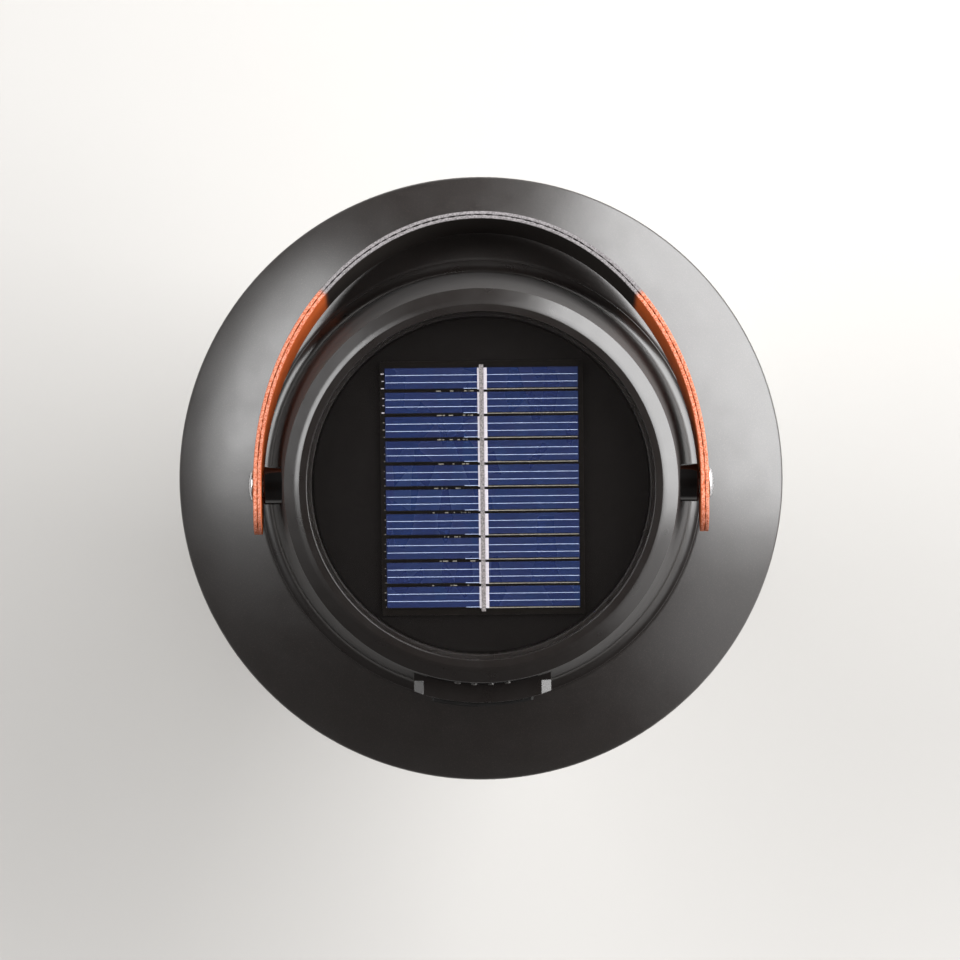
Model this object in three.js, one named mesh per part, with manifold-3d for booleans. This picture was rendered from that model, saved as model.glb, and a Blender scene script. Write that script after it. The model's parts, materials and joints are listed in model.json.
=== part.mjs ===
// A solar lantern: a weighted base cup, an opal tube, a wide spun-metal shade and a tapered neck
// that carries the solar window. A two-layer strap folds over the shade on two side pivots.
// Millimetres, +Z up. The origin is the centre of the underside of the foot pad. The charging
// port faces -Y, the strap pivots on X, and at rest the strap lies folded towards +Y.

import * as THREE from 'three';
import { mergeVertices } from 'three/addons/utils/BufferGeometryUtils.js';
import Module from 'manifold-3d';

const wasm = await Module();
wasm.setup();

// ---- Driving dimensions ----------------------------------------------------------------------

const GAP = 0.3; // clearance between neighbouring pieces
const SLIM = 0.1; // clearance in the stack of the solar panel
const WIDE_STEPS = 40; // facets round a large turned piece
const FINE_STEPS = 16; // facets round a pin, a hole or a boss

const FOOT = { radius: 45, top: 2 };
const BASE = {
  radius: 50,
  bottom: 2.3,
  floorTop: 6,
  top: 34,
  wall: 7,
  corner: 4,
  rimRound: 3,
  wellDepth: 8,
};
const WEIGHT = { radius: 37, thickness: 6 };
const BASE_SCREWS = { count: 3, circle: 24, head: 3, headDepth: 1.7, shank: 1.5 };

const DIFFUSER = { radius: 42, wall: 2.2, bottom: 9, top: 157.3 };
const SEAL = { thickness: 0.6 };

const SHADE = {
  bore: 46, // the hole that the light carrier passes
  seat: 65.2, // radius where the flat seat turns into the dome
  seatTop: 162,
  sheet: 1,
  slopeAtSeat: 21, // degrees; the dome steepens evenly from here to the bead
  slopeAtBead: 38,
  beadRadius: 1.6,
  rim: 90,
};

const CARRIER = { flange: 60, flangeTop: 160.7, plateau: 45.2, plateauTop: 163, skirtBottom: 150 };
const LED = { boardRadius: 30, boardTop: 160.2, boardThickness: 1.3, circle: 14, side: 3.5, count: 3 };
const REFLECTOR = { narrow: 30.8, high: 158.4, low: 150.5, edgeRise: 0.5, sheet: 0.8 };
const HOUSING_SCREW = { head: 2.9, headDepth: 1.8, headTop: 158.1 };

const NECK = {
  bottom: 163,
  footRadius: 65.1,
  footEdge: 0.6, // height of the foot's rim, where the hollow curve above it starts level
  cove: 3.6, // radius of that curve
  coveSweep: 81, // how steep it is, in degrees, where it meets the wall
  top: 195.4,
  headRadius: 57,
  wall: 2.4,
};
const COVE_CENTRE = [NECK.footRadius, NECK.bottom + NECK.footEdge + NECK.cove];
const SHELF = { lowTop: 190, highTop: 193.9, bore: 46.5, step: 49, thickness: 1.6, rebate: 55.3 };
const POSTS = { count: 4, circle: 52, radius: 4, hole: 1.8, holeDepth: 11.7 };

const BEZEL = {
  outer: 57,
  crown: 52.3, // outer radius of the flat crown, where the sloping face starts
  crownWidth: 2,
  brow: 6, // radius of the curve at the top of the sloping face
  slopeAtCrown: 18,
  slope: 37,
  lip: 50.1,
  lipHeight: 1.2,
  edgeTop: 196.57,
  crownTop: 199.7,
  skirtBottom: 194.2,
};
const WINDOW = { radius: 52, bottom: 195.9, top: 197.9, chamfer: 0.4 };
const TRAY = { radius: 48.6, thickness: 1.2 };
const PANEL = { width: 58.6, length: 73.4, thickness: 1.2, shift: [0.4, -0.8], turn: 0.2 };
const CELL = { count: 10, width: 55.8, depth: 6.35, pitch: 7.03, thickness: 0.2 };
const RIBBON = { width: 2.9, length: 72, thickness: 0.12 };

const PIVOT_Z = 185.5;
const BOSS = { radius: 5.5, end: 63.1, inner: 55, flangeRadius: 7, flangeOuter: 56.7, bore: 2.1 };
const BUSH = { radius: 3.2, start: 63.4, end: 65.9 };
const STRAP = { centre: 64.7, reach: 78.4, width: 18, layer: 1, split: 0.15, tabCentre: 5.3, hole: 3.5 };
const STRAP_REST = THREE.MathUtils.degToRad(13.2); // droop of the folded strap below level
const STRAP_SCREW = { head: 4.5, start: 66.2, rim: 0.5, dome: 1, crown: 1.4, shank: 1.75, tip: 57.5 };
const SCREW_SLOT = { halfLength: 1.9, halfWidth: 0.45, floor: 0.7 };

const PORT = {
  front: 63.5, // radius of the housing's outer face
  back: 56.5,
  halfWidth: 20,
  bottom: 168,
  top: 188,
  bevelWide: 2.9,
  bevelTall: 1.6,
  webFront: 61, // distance of the web's two faces from the axis
  webBack: 59.4,
};
const POCKET = { halfWidth: 13, bottom: 176.6, top: 183.6 };
const COVER = {
  halfAngle: THREE.MathUtils.degToRad(13.2),
  inner: 63.8,
  outer: 64.7,
  bottom: 176,
  top: 184.6,
  lipReach: 0.9,
  lipHeight: 1.2,
};
const PLUG = { halfWidth: 9, bottom: 177.4, top: 182.8, tip: 62.4 };
const SOCKET = { x: -5.5, width: 9, height: 3.3, front: 60.9, depth: 7.4, wall: 0.35 };
const BUTTON = { x: 6, z: 180, radius: 2.6, flange: 3.4, front: 61.9, back: 58.4, flangeLength: 0.7 };
const SWITCH = { width: 5, depth: 3.4, height: 3.6, front: 57, plunger: 1.2, stroke: 0.3 };
const BOARD = { bottom: 176, thickness: 1.6, halfWidth: 26, tongue: 13.2, front: 57.2, step: 50, back: 4 };
const STANDOFFS = { x: 20, front: -36, rear: -4, radius: 2.5 };
const INDICATOR = { bottom: 188.9, top: 192.3, halfWidth: 16, depth: 1, pips: 4, pipStep: 4.8, pip: 0.95 };

const BATTERY = { radius: 9.1, length: 65, y: 18, z: 175.4 };
const HOLDER = { halfLength: 37.5, halfWidth: 10.8, bottom: 163.3, top: 177, endTop: 183.5, end: 2 };

// ---- Helpers ---------------------------------------------------------------------------------

// A closed geometry as a solid with its faces pointing out.
function solid(geometry) {
  const bare = geometry.clone();
  bare.deleteAttribute('normal');
  bare.deleteAttribute('uv');
  const merged = mergeVertices(bare, 1e-4);
  const vertProperties = merged.attributes.position.array;
  const triVerts = new Uint32Array(merged.index.array);
  const build = () => new wasm.Manifold(new wasm.Mesh({ numProp: 3, vertProperties, triVerts }));
  const made = build();
  if (made.volume() >= 0) return made;
  triVerts.reverse();
  return build();
}

function geometryOf(body) {
  const { vertProperties, triVerts } = body.getMesh();
  const geometry = new THREE.BufferGeometry();
  geometry.setAttribute('position', new THREE.BufferAttribute(vertProperties, 3));
  geometry.setIndex(new THREE.BufferAttribute(triVerts, 1));
  geometry.computeVertexNormals();
  return geometry;
}

const lantern = new THREE.Group();

function add(name, body, material) {
  const mesh = new THREE.Mesh(geometryOf(body), material);
  mesh.name = name;
  lantern.add(mesh);
}

// A profile of [radius, height] points turned about Z. One that leaves the axis closes on itself.
function turned(profile, steps = WIDE_STEPS) {
  const points = profile.map(([radius, height]) => new THREE.Vector2(radius, height));
  if (profile[0][0] > 0) points.push(points[0].clone());
  return solid(new THREE.LatheGeometry(points, steps).rotateX(Math.PI / 2));
}

// Points along an arc in a profile, from one angle to another, both in degrees.
function arc([radius, height], size, from, to, steps) {
  return Array.from({ length: steps + 1 }, (_, i) => {
    const angle = THREE.MathUtils.degToRad(from + ((to - from) * i) / steps);
    return [radius + size * Math.cos(angle), height + size * Math.sin(angle)];
  });
}

function ring(inner, outer, bottom, top, steps = WIDE_STEPS) {
  return turned([[inner, bottom], [outer, bottom], [outer, top], [inner, top]], steps);
}

function disc(radius, bottom, top, steps = WIDE_STEPS) {
  return turned([[0, bottom], [radius, bottom], [radius, top], [0, top]], steps);
}

function block([x0, x1], [y0, y1], [z0, z1]) {
  const box = new THREE.BoxGeometry(x1 - x0, y1 - y0, z1 - z0);
  return solid(box.translate((x0 + x1) / 2, (y0 + y1) / 2, (z0 + z1) / 2));
}

// A round rod between two points, which may taper to another radius.
function rod(start, end, radius, endRadius = radius, steps = FINE_STEPS) {
  const from = new THREE.Vector3(...start);
  const along = new THREE.Vector3(...end).sub(from);
  const cylinder = new THREE.CylinderGeometry(endRadius, radius, along.length(), steps);
  const turn = new THREE.Quaternion().setFromUnitVectors(
    new THREE.Vector3(0, 1, 0),
    along.clone().normalize(),
  );
  cylinder.applyQuaternion(turn);
  const middle = from.addScaledVector(along, 0.5);
  return solid(cylinder.translate(middle.x, middle.y, middle.z));
}

// An outline of [x, y] points between two heights.
function plate(outline, bottom, top) {
  const shape = new THREE.Shape(outline.map(([x, y]) => new THREE.Vector2(x, y)));
  const depth = top - bottom;
  return solid(new THREE.ExtrudeGeometry(shape, { depth, bevelEnabled: false }).translate(0, 0, bottom));
}

// A sector of a ring, centred on -Y.
function frontSector(inner, outer, halfAngle, bottom, top, steps = 7) {
  const shape = new THREE.Shape();
  const middle = -Math.PI / 2;
  shape.absarc(0, 0, outer, middle - halfAngle, middle + halfAngle, false);
  shape.absarc(0, 0, inner, middle + halfAngle, middle - halfAngle, true);
  const settings = { depth: top - bottom, bevelEnabled: false, curveSegments: steps };
  return solid(new THREE.ExtrudeGeometry(shape, settings).translate(0, 0, bottom));
}

// A round section, with twice as many sides as halfSides, swept along a curve.
function swept(curve, radius, halfSides, steps) {
  const section = new THREE.Shape();
  section.absarc(0, 0, radius, 0, 2 * Math.PI, false);
  const settings = { extrudePath: curve, steps, curveSegments: halfSides, bevelEnabled: false };
  return solid(new THREE.ExtrudeGeometry(section, settings));
}

function join(bodies) {
  return bodies.reduce((whole, body) => whole.add(body));
}

function cut(body, cutters) {
  return cutters.reduce((left, cutter) => left.subtract(cutter), body);
}

// Places on a circle about Z, as [x, y], starting at an angle in degrees.
function circle(count, radius, start = 0) {
  return Array.from({ length: count }, (_, i) => {
    const angle = THREE.MathUtils.degToRad(start + (360 * i) / count);
    return [radius * Math.cos(angle), radius * Math.sin(angle)];
  });
}

function upright([x, y], bottom, top, radius) {
  return rod([x, y, bottom], [x, y, top], radius);
}

const SIDES = [['left', -1], ['right', 1]];

// The hollow curve at the neck's foot, from its outer edge up to the wall.
const neckCove = (steps) => arc(COVE_CENTRE, NECK.cove, -90, -90 - NECK.coveSweep, steps);

// Radius of the neck's outer wall at a height above the hollow curve.
function neckRadius(z) {
  const [coveRadius, coveTop] = neckCove(1)[1];
  const share = (z - coveTop) / (NECK.top - coveTop);
  return coveRadius + share * (NECK.headRadius - coveRadius);
}

// ---- Materials -------------------------------------------------------------------------------

const finish = (color, roughness, metalness = 0) =>
  new THREE.MeshStandardMaterial({ color, roughness, metalness });

const paintedMetal = finish(0x2a2929, 0.45, 0.3);
const blackPlastic = finish(0x1d1c1c, 0.5);
const glossBlack = finish(0x101010, 0.15);
const whitePlastic = finish(0xe8e6e0, 0.5);
const opal = finish(0xf4f1ea, 0.4);
const clearWindow = finish(0x0b0c10, 0.05);
const rubber = finish(0x161616, 0.85);
const steel = finish(0xb9bbbd, 0.25, 1);
const leather = finish(0xc4703e, 0.7);
const leatherLining = finish(0xb0602f, 0.8);
const cellBlue = finish(0x23376c, 0.3, 0.2);
const circuitGreen = finish(0x1f5a36, 0.5);
const circuitBlack = finish(0x111111, 0.5);
const ledYellow = finish(0xe9cf62, 0.4);
const batteryWrap = finish(0x2f6fb0, 0.4);
const tinned = finish(0xd8d8d4, 0.35, 0.9);
const cableBlack = finish(0x181818, 0.6);
const smoked = finish(0x202022, 0.2);

// ---- Base ------------------------------------------------------------------------------------

const baseScrewPlaces = circle(BASE_SCREWS.count, BASE_SCREWS.circle, 90);
const sealLedge = DIFFUSER.bottom - GAP - SEAL.thickness - GAP;

function footPad() {
  return turned([[0, 0], [FOOT.radius - 1, 0], [FOOT.radius, 1], [FOOT.radius, FOOT.top], [0, FOOT.top]]);
}

function baseCup() {
  const { radius, bottom, floorTop, top, wall, corner, rimRound, wellDepth } = BASE;
  const well = radius - wall;
  const recess = WEIGHT.radius + 1.2;
  const cup = turned([
    [0, bottom],
    [radius - corner, bottom],
    ...arc([radius - corner, bottom + corner], corner, -75, 0, 3),
    ...arc([radius - rimRound, top - rimRound], rimRound, 0, 90, 3),
    [well + 0.5, top],
    [well, top - 0.5],
    [well, top - wellDepth],
    [DIFFUSER.radius + GAP, top - wellDepth - 1],
    [DIFFUSER.radius + GAP, sealLedge],
    [recess, sealLedge],
    [recess, floorTop],
    [0, floorTop],
  ]);
  const { head, shank } = BASE_SCREWS;
  const sinks = baseScrewPlaces.map((place) => upright(place, bottom - 1, bottom + 2, head + GAP));
  const holes = baseScrewPlaces.map((place) => upright(place, bottom, floorTop + 1, shank + GAP));
  return cut(cup, [...sinks, ...holes]);
}

const weightBottom = BASE.floorTop + GAP;

function baseWeight() {
  const top = weightBottom + WEIGHT.thickness;
  const holes = baseScrewPlaces.map((place) => upright(place, 0, top - 1, BASE_SCREWS.shank + GAP));
  return cut(disc(WEIGHT.radius, weightBottom, top), holes);
}

function baseScrew(place) {
  const { head, headDepth, shank } = BASE_SCREWS;
  const cap = upright(place, BASE.bottom, BASE.bottom + headDepth, head);
  return cap.add(upright(place, BASE.bottom + 1, weightBottom + WEIGHT.thickness - 2, shank));
}

add('foot_pad', footPad(), rubber);
add('base_cup', baseCup(), paintedMetal);
add('base_weight', baseWeight(), steel);
baseScrewPlaces.forEach((place, i) => add(`base_screw_${i + 1}`, baseScrew(place), steel));

// ---- Diffuser and its seals ------------------------------------------------------------------

const diffuserBore = DIFFUSER.radius - DIFFUSER.wall;
const upperSealTop = DIFFUSER.top + GAP + SEAL.thickness;

add('diffuser', ring(diffuserBore, DIFFUSER.radius, DIFFUSER.bottom, DIFFUSER.top), opal);
add(
  'lower_diffuser_seal',
  ring(diffuserBore, DIFFUSER.radius, sealLedge + GAP, sealLedge + GAP + SEAL.thickness),
  rubber,
);
add(
  'upper_diffuser_seal',
  ring(diffuserBore, DIFFUSER.radius, upperSealTop - SEAL.thickness, upperSealTop),
  rubber,
);

// ---- Shade -----------------------------------------------------------------------------------

// The dome falls from the seat and rolls under into a bead at the rim.
function shadeBody() {
  const { bore, seat, seatTop, sheet, slopeAtSeat, slopeAtBead, beadRadius, rim } = SHADE;
  const [first, last] = [slopeAtSeat, slopeAtBead].map(THREE.MathUtils.degToRad);
  const beadCentre = rim - beadRadius;
  const reach = beadCentre + beadRadius * Math.sin(last) - seat;
  const dome = reach / (Math.sin(last) - Math.sin(first));
  const centre = [seat - dome * Math.sin(first), seatTop - dome * Math.cos(first)];
  const bead = [beadCentre, centre[1] + (dome - beadRadius) * Math.cos(last)];
  return turned([
    [bore, seatTop],
    ...arc(centre, dome, 90 - slopeAtSeat, 90 - slopeAtBead, 6),
    ...arc(bead, beadRadius, 90 - slopeAtBead, -195, 8).slice(1),
    ...arc(centre, dome - sheet, 90 - slopeAtBead + 2, 90 - slopeAtSeat, 5),
    [bore, seatTop - sheet],
  ]);
}

const postPlaces = circle(POSTS.count, POSTS.circle, 45);
const screwHoles = (bottom, top) => postPlaces.map((place) => upright(place, bottom, top, POSTS.hole));

add('shade', cut(shadeBody(), screwHoles(SHADE.seatTop - 3, SHADE.seatTop + 1)), paintedMetal);
add(
  'shade_gasket',
  ring(NECK.footRadius - 2.2, NECK.footRadius - 0.4, SHADE.seatTop + 0.2, NECK.bottom - 0.2),
  rubber,
);

// ---- Light carrier, reflector and LEDs -------------------------------------------------------

const standoffPlaces = [-1, 1].flatMap((side) => [
  [side * STANDOFFS.x, STANDOFFS.front],
  [side * STANDOFFS.x, STANDOFFS.rear],
]);

function lightCarrier() {
  const { flange, flangeTop, plateau, plateauTop, skirtBottom } = CARRIER;
  const skirtInner = DIFFUSER.radius + 0.6;
  const ceiling = LED.boardTop + GAP;
  const body = turned([
    [4, ceiling],
    [4, plateauTop],
    [plateau, plateauTop],
    [plateau, flangeTop],
    [flange, flangeTop],
    [flange, flangeTop - 2],
    [plateau + 0.3, flangeTop - 2.6],
    [plateau + 0.3, skirtBottom],
    [skirtInner, skirtBottom],
    [skirtInner, upperSealTop + GAP],
    [diffuserBore - 0.3, upperSealTop + GAP],
    [diffuserBore - 0.3, ceiling],
  ]);
  const standoffs = standoffPlaces.map((place) =>
    upright(place, plateauTop - 0.5, BOARD.bottom - GAP, STANDOFFS.radius),
  );
  return cut(join([body, ...standoffs]), screwHoles(skirtBottom, plateauTop));
}

function reflector() {
  const { narrow, high, low, edgeRise, sheet } = REFLECTOR;
  const wide = diffuserBore - 2 * GAP;
  return turned([[narrow, high], [wide - 0.9, low], [wide, low + edgeRise], [narrow + 1, high + sheet]]);
}

function housingScrew(place) {
  const { head, headDepth, headTop } = HOUSING_SCREW;
  const cap = upright(place, headTop - headDepth, headTop, head);
  return cap.add(upright(place, headTop - 1, NECK.bottom + POSTS.holeDepth - 2, POSTS.hole - GAP));
}

const ledBoardBottom = LED.boardTop - LED.boardThickness;
const ledTop = ledBoardBottom - GAP;

function led([x, y]) {
  const half = LED.side / 2;
  return block([x - half, x + half], [y - half, y + half], [ledTop - 1.2, ledTop]);
}

add('light_carrier', lightCarrier(), whitePlastic);
add('reflector', reflector(), whitePlastic);
add('led_board', ring(3, LED.boardRadius, ledBoardBottom, LED.boardTop, 32), whitePlastic);
circle(LED.count, LED.circle, 90).forEach((place, i) => add(`led_${i + 1}`, led(place), ledYellow));
postPlaces.forEach((place, i) => add(`housing_screw_${i + 1}`, housingScrew(place), steel));

// ---- Neck housing and charging port ----------------------------------------------------------

// The port housing's outline, grown by a clearance when it cuts its place in the neck.
function portOutline(grow, inner) {
  const { front, halfWidth, bottom, top, bevelWide, bevelTall } = PORT;
  const halfAngle = Math.asin((halfWidth + 3) / front);
  const sector = frontSector(inner, front + grow, halfAngle, bottom - grow, top + grow, 8);
  const side = halfWidth + grow;
  const gable = [
    [-side, bottom - 1],
    [side, bottom - 1],
    [side, top - bevelTall + grow],
    [side - bevelWide, top + grow],
    [bevelWide - side, top + grow],
    [-side, top - bevelTall + grow],
  ];
  const profile = new THREE.Shape(gable.map(([x, z]) => new THREE.Vector2(x, z)));
  const prism = new THREE.ExtrudeGeometry(profile, { depth: front + 1, bevelEnabled: false });
  return sector.intersect(solid(prism.rotateX(Math.PI / 2)));
}

// A band of the neck's outer wall, from a depth below the surface to a height above it.
function neckBand(depth, proud, bottom, top) {
  return turned([
    [neckRadius(bottom) - depth, bottom],
    [neckRadius(bottom) + proud, bottom],
    [neckRadius(top) + proud, top],
    [neckRadius(top) - depth, top],
  ]);
}

function indicatorStrip(grow, depth, proud) {
  const { bottom, top, halfWidth } = INDICATOR;
  const across = block([-halfWidth - grow, halfWidth + grow], [-80, 0], [bottom - 5, top + 5]);
  return neckBand(depth, proud, bottom - grow, top + grow).intersect(across);
}

function neckHousing() {
  const { bottom, footRadius, cove, top, headRadius, wall } = NECK;
  const shelfBottom = SHELF.lowTop - SHELF.thickness;
  const shell = turned([
    [footRadius - cove - wall, bottom],
    [footRadius, bottom],
    ...neckCove(6),
    [headRadius, top - 0.4],
    [headRadius - 0.4, top],
    [SHELF.rebate, top],
    [SHELF.rebate, SHELF.highTop],
    [SHELF.step, SHELF.highTop],
    [SHELF.step, SHELF.lowTop],
    [SHELF.bore, SHELF.lowTop],
    [SHELF.bore, shelfBottom],
    [neckRadius(shelfBottom) - wall, shelfBottom],
  ]);
  const postFoot = SHADE.seatTop + GAP;
  const posts = postPlaces.map((place) => upright(place, postFoot, shelfBottom + 0.5, POSTS.radius));
  const flangeSeat = BOSS.flangeOuter + GAP;
  const postHoles = screwHoles(SHADE.seatTop, NECK.bottom + POSTS.holeDepth);
  const pivotHoles = SIDES.flatMap(([, side]) => [
    rod([side * (BOSS.inner - 1), 0, PIVOT_Z], [side * (BOSS.end + 3), 0, PIVOT_Z], BOSS.radius + GAP),
    rod([side * (BOSS.inner - 1), 0, PIVOT_Z], [side * flangeSeat, 0, PIVOT_Z], BOSS.flangeRadius + GAP),
  ]);
  return cut(join([shell, ...posts]), [
    ...postHoles,
    ...pivotHoles,
    portOutline(GAP, PORT.back - 4),
    indicatorStrip(GAP, INDICATOR.depth + GAP, 2),
  ]);
}

function portHousing() {
  const { webFront, webBack } = PORT;
  const frontPocket = block(
    [-POCKET.halfWidth, POCKET.halfWidth],
    [-PORT.front - 1, -webFront],
    [POCKET.bottom, POCKET.top],
  );
  const rearPocket = block([-14, 14], [-webBack, 0], [PORT.bottom + 6.5, PORT.top - 2.5]);
  const socketMiddle = BOARD.bottom + BOARD.thickness + GAP + SOCKET.height / 2;
  const socketHole = block(
    [SOCKET.x - SOCKET.width / 2 - GAP, SOCKET.x + SOCKET.width / 2 + GAP],
    [-webFront - 1, -webBack + 1],
    [socketMiddle - SOCKET.height / 2 - GAP, socketMiddle + SOCKET.height / 2 + GAP],
  );
  const buttonHole = rod(
    [BUTTON.x, -webFront - 1, BUTTON.z],
    [BUTTON.x, -webBack + 1, BUTTON.z],
    BUTTON.radius + GAP,
  );
  return cut(portOutline(0, PORT.back), [frontPocket, rearPocket, socketHole, buttonHole]);
}

// A curved flap with a plug that fills the pocket's mouth and a pull lip on its left half.
function portCover() {
  const { halfAngle, inner, outer, bottom, top, lipReach, lipHeight } = COVER;
  const flap = frontSector(inner, outer, halfAngle, bottom, top);
  const plug = block(
    [-PLUG.halfWidth, PLUG.halfWidth],
    [-inner - 0.4, -PLUG.tip],
    [PLUG.bottom, PLUG.top],
  );
  const lipRing = frontSector(inner + 0.5, outer + lipReach, halfAngle, bottom, bottom + lipHeight);
  const lip = lipRing.intersect(block([-14.5, -1.5], [-80, 0], [bottom - 1, top]));
  return join([flap, plug, lip]);
}

function chargeIndicator() {
  const strip = indicatorStrip(0, INDICATOR.depth, 0.1);
  const middle = (INDICATOR.bottom + INDICATOR.top) / 2;
  const pips = Array.from({ length: INDICATOR.pips }, (_, i) => {
    const azimuth = THREE.MathUtils.degToRad(-90 + INDICATOR.pipStep * (i - (INDICATOR.pips - 1) / 2));
    const at = (radius) => [radius * Math.cos(azimuth), radius * Math.sin(azimuth), middle];
    return rod(at(neckRadius(middle) - 0.5), at(neckRadius(middle) + 0.5), INDICATOR.pip, INDICATOR.pip, 12);
  });
  return join([strip, ...pips]);
}

function powerButton() {
  const { x, z, radius, flange, front, back, flangeLength } = BUTTON;
  const cap = rod([x, -front, z], [x, -back, z], radius);
  return cap.add(rod([x, -back - flangeLength, z], [x, -back, z], flange));
}

add('neck_housing', neckHousing(), blackPlastic);
add('port_housing', portHousing(), blackPlastic);
add('port_cover', portCover(), rubber);
add('charge_indicator', chargeIndicator(), smoked);
add('power_button', powerButton(), rubber);

// ---- Electronics in the neck -----------------------------------------------------------------

const boardTop = BOARD.bottom + BOARD.thickness;

function controlBoard() {
  const { halfWidth, tongue, front, step, back, bottom } = BOARD;
  const half = [[halfWidth, back], [halfWidth, -step], [tongue, -step], [tongue, -front]];
  const mirrored = half.map(([x, y]) => [-x, y]).reverse();
  return plate([...half, ...mirrored], bottom, boardTop);
}

function usbSocket() {
  const { x, width, height, front, depth, wall } = SOCKET;
  const bottom = boardTop + GAP;
  const middle = bottom + height / 2;
  const shell = block([x - width / 2, x + width / 2], [-front, -front + depth], [bottom, bottom + height]);
  const mouth = block(
    [x - width / 2 + wall, x + width / 2 - wall],
    [-front - 1, -front + depth - 1],
    [bottom + wall, bottom + height - wall],
  );
  const tongueDepth = [-front + 0.8, -front + depth - 0.5];
  const tongue = block([x - 3.3, x + 3.3], tongueDepth, [middle - 0.35, middle + 0.35]);
  return shell.subtract(mouth).add(tongue);
}

function tactSwitch() {
  const { width, depth, height, front, plunger, stroke } = SWITCH;
  const bottom = boardTop + GAP;
  const body = block(
    [BUTTON.x - width / 2, BUTTON.x + width / 2],
    [-front, -front + depth],
    [bottom, bottom + height],
  );
  return body.add(rod([BUTTON.x, -front - stroke, BUTTON.z], [BUTTON.x, -front + 1, BUTTON.z], plunger));
}

// A cradle with a rounded trough and two end walls.
function batteryHolder() {
  const { halfLength, halfWidth, bottom, top, endTop, end } = HOLDER;
  const ySpan = [BATTERY.y - halfWidth, BATTERY.y + halfWidth];
  const cradle = block([-halfLength, halfLength], ySpan, [bottom, top]);
  const innerEnd = halfLength - end;
  const trough = rod(
    [-innerEnd, BATTERY.y, BATTERY.z],
    [innerEnd, BATTERY.y, BATTERY.z],
    BATTERY.radius + GAP,
  );
  const ends = SIDES.map(([, side]) => {
    const xSpan = [side * innerEnd, side * halfLength].sort((a, b) => a - b);
    return block(xSpan, ySpan, [top - 1, endTop]);
  });
  return join([cradle.subtract(trough), ...ends]);
}

function batteryCell() {
  const { radius, length, y, z } = BATTERY;
  const half = length / 2;
  const can = rod([-half, y, z], [half - 1.2, y, z], radius, radius, 24);
  return can.add(rod([half - 1.5, y, z], [half, y, z], 3));
}

class ConicalCoil extends THREE.Curve {
  getPoint(t, target = new THREE.Vector3()) {
    const turns = 3;
    const angle = 2 * Math.PI * turns * t;
    const radius = 4.6 - 2 * t;
    const start = HOLDER.halfLength - HOLDER.end - 0.8;
    const reach = start - BATTERY.length / 2 - 0.9;
    return target.set(
      -start + reach * t,
      BATTERY.y + radius * Math.cos(angle),
      BATTERY.z + radius * Math.sin(angle),
    );
  }
}

function batteryContact() {
  const face = BATTERY.length / 2 + GAP;
  return block([face, face + 0.5], [BATTERY.y - 6, BATTERY.y + 6], [BATTERY.z - 5, BATTERY.z + 5]);
}

add('control_board', controlBoard(), circuitGreen);
add('usb_socket', usbSocket(), steel);
add('tact_switch', tactSwitch(), glossBlack);
add('battery_holder', batteryHolder(), blackPlastic);
add('battery_cell', batteryCell(), batteryWrap);
add('battery_spring', swept(new ConicalCoil(), 0.35, 3, 30), steel);
add('battery_contact', batteryContact(), tinned);

// ---- Bezel, window and solar panel -----------------------------------------------------------

function bezelRing() {
  const { outer, crown, crownWidth, lip, lipHeight, edgeTop, crownTop, skirtBottom } = BEZEL;
  const { brow, slopeAtCrown, slope } = BEZEL;
  const start = THREE.MathUtils.degToRad(slopeAtCrown);
  const centre = [crown - brow * Math.sin(start), crownTop - brow * Math.cos(start)];
  const lipBottom = WINDOW.top + GAP;
  return turned([
    [outer, NECK.top + GAP],
    [outer, edgeTop],
    ...arc(centre, brow, 90 - slope, 90 - slopeAtCrown, 3),
    [crown - crownWidth, crownTop],
    [lip, lipBottom + lipHeight],
    [lip, lipBottom],
    [WINDOW.radius + GAP, lipBottom],
    [WINDOW.radius + GAP, skirtBottom],
    [SHELF.rebate - GAP, skirtBottom],
    [SHELF.rebate - GAP, NECK.top + GAP],
  ]);
}

function solarWindow() {
  const { radius, bottom, top, chamfer } = WINDOW;
  return turned([
    [0, bottom],
    [radius, bottom],
    [radius, top - chamfer],
    [radius - chamfer, top],
    [0, top],
  ]);
}

const trayBottom = SHELF.lowTop + GAP;
const trayTop = trayBottom + TRAY.thickness;
const panelTop = trayTop + GAP + PANEL.thickness;
const cellTop = panelTop + SLIM + CELL.thickness;

// Places a piece of the panel, which is glued in a little off centre and turned.
function onPanel(body) {
  const [x, y] = PANEL.shift;
  return body.rotate([0, 0, PANEL.turn]).translate([x, y, 0]);
}

function centred(width, length, bottom, top) {
  return block([-width / 2, width / 2], [-length / 2, length / 2], [bottom, top]);
}

function solarCell(row) {
  const y = (row - (CELL.count - 1) / 2) * CELL.pitch;
  const strip = centred(CELL.width, CELL.depth, panelTop + SLIM, cellTop);
  return onPanel(strip.translate([0, y, 0]));
}

// A twin lead from the panel's underside down to the control board.
function panelLead() {
  const route = new THREE.CatmullRomCurve3([
    new THREE.Vector3(0, -22, trayTop - 2),
    new THREE.Vector3(0, -22, trayTop - 5),
    new THREE.Vector3(2, -20, 183),
    new THREE.Vector3(5, -18, boardTop + 2.5),
    new THREE.Vector3(5, -18, boardTop + GAP),
  ]);
  return swept(route, 0.9, 4, 10);
}

// A twin lead from the control board's underside through the carrier to the LED board.
function ledLead() {
  const route = new THREE.CatmullRomCurve3([
    new THREE.Vector3(0, -10, BOARD.bottom - GAP),
    new THREE.Vector3(0, -10, 173),
    new THREE.Vector3(0, -5, 168),
    new THREE.Vector3(0, 0, 164.5),
    new THREE.Vector3(0, 0, LED.boardTop + GAP),
  ]);
  return swept(route, 0.9, 4, 10);
}

const trayHole = upright([0, -22], trayBottom - 1, trayTop + 1, 2);
const trayDisc = disc(TRAY.radius, trayBottom, trayTop).subtract(trayHole);

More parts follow.
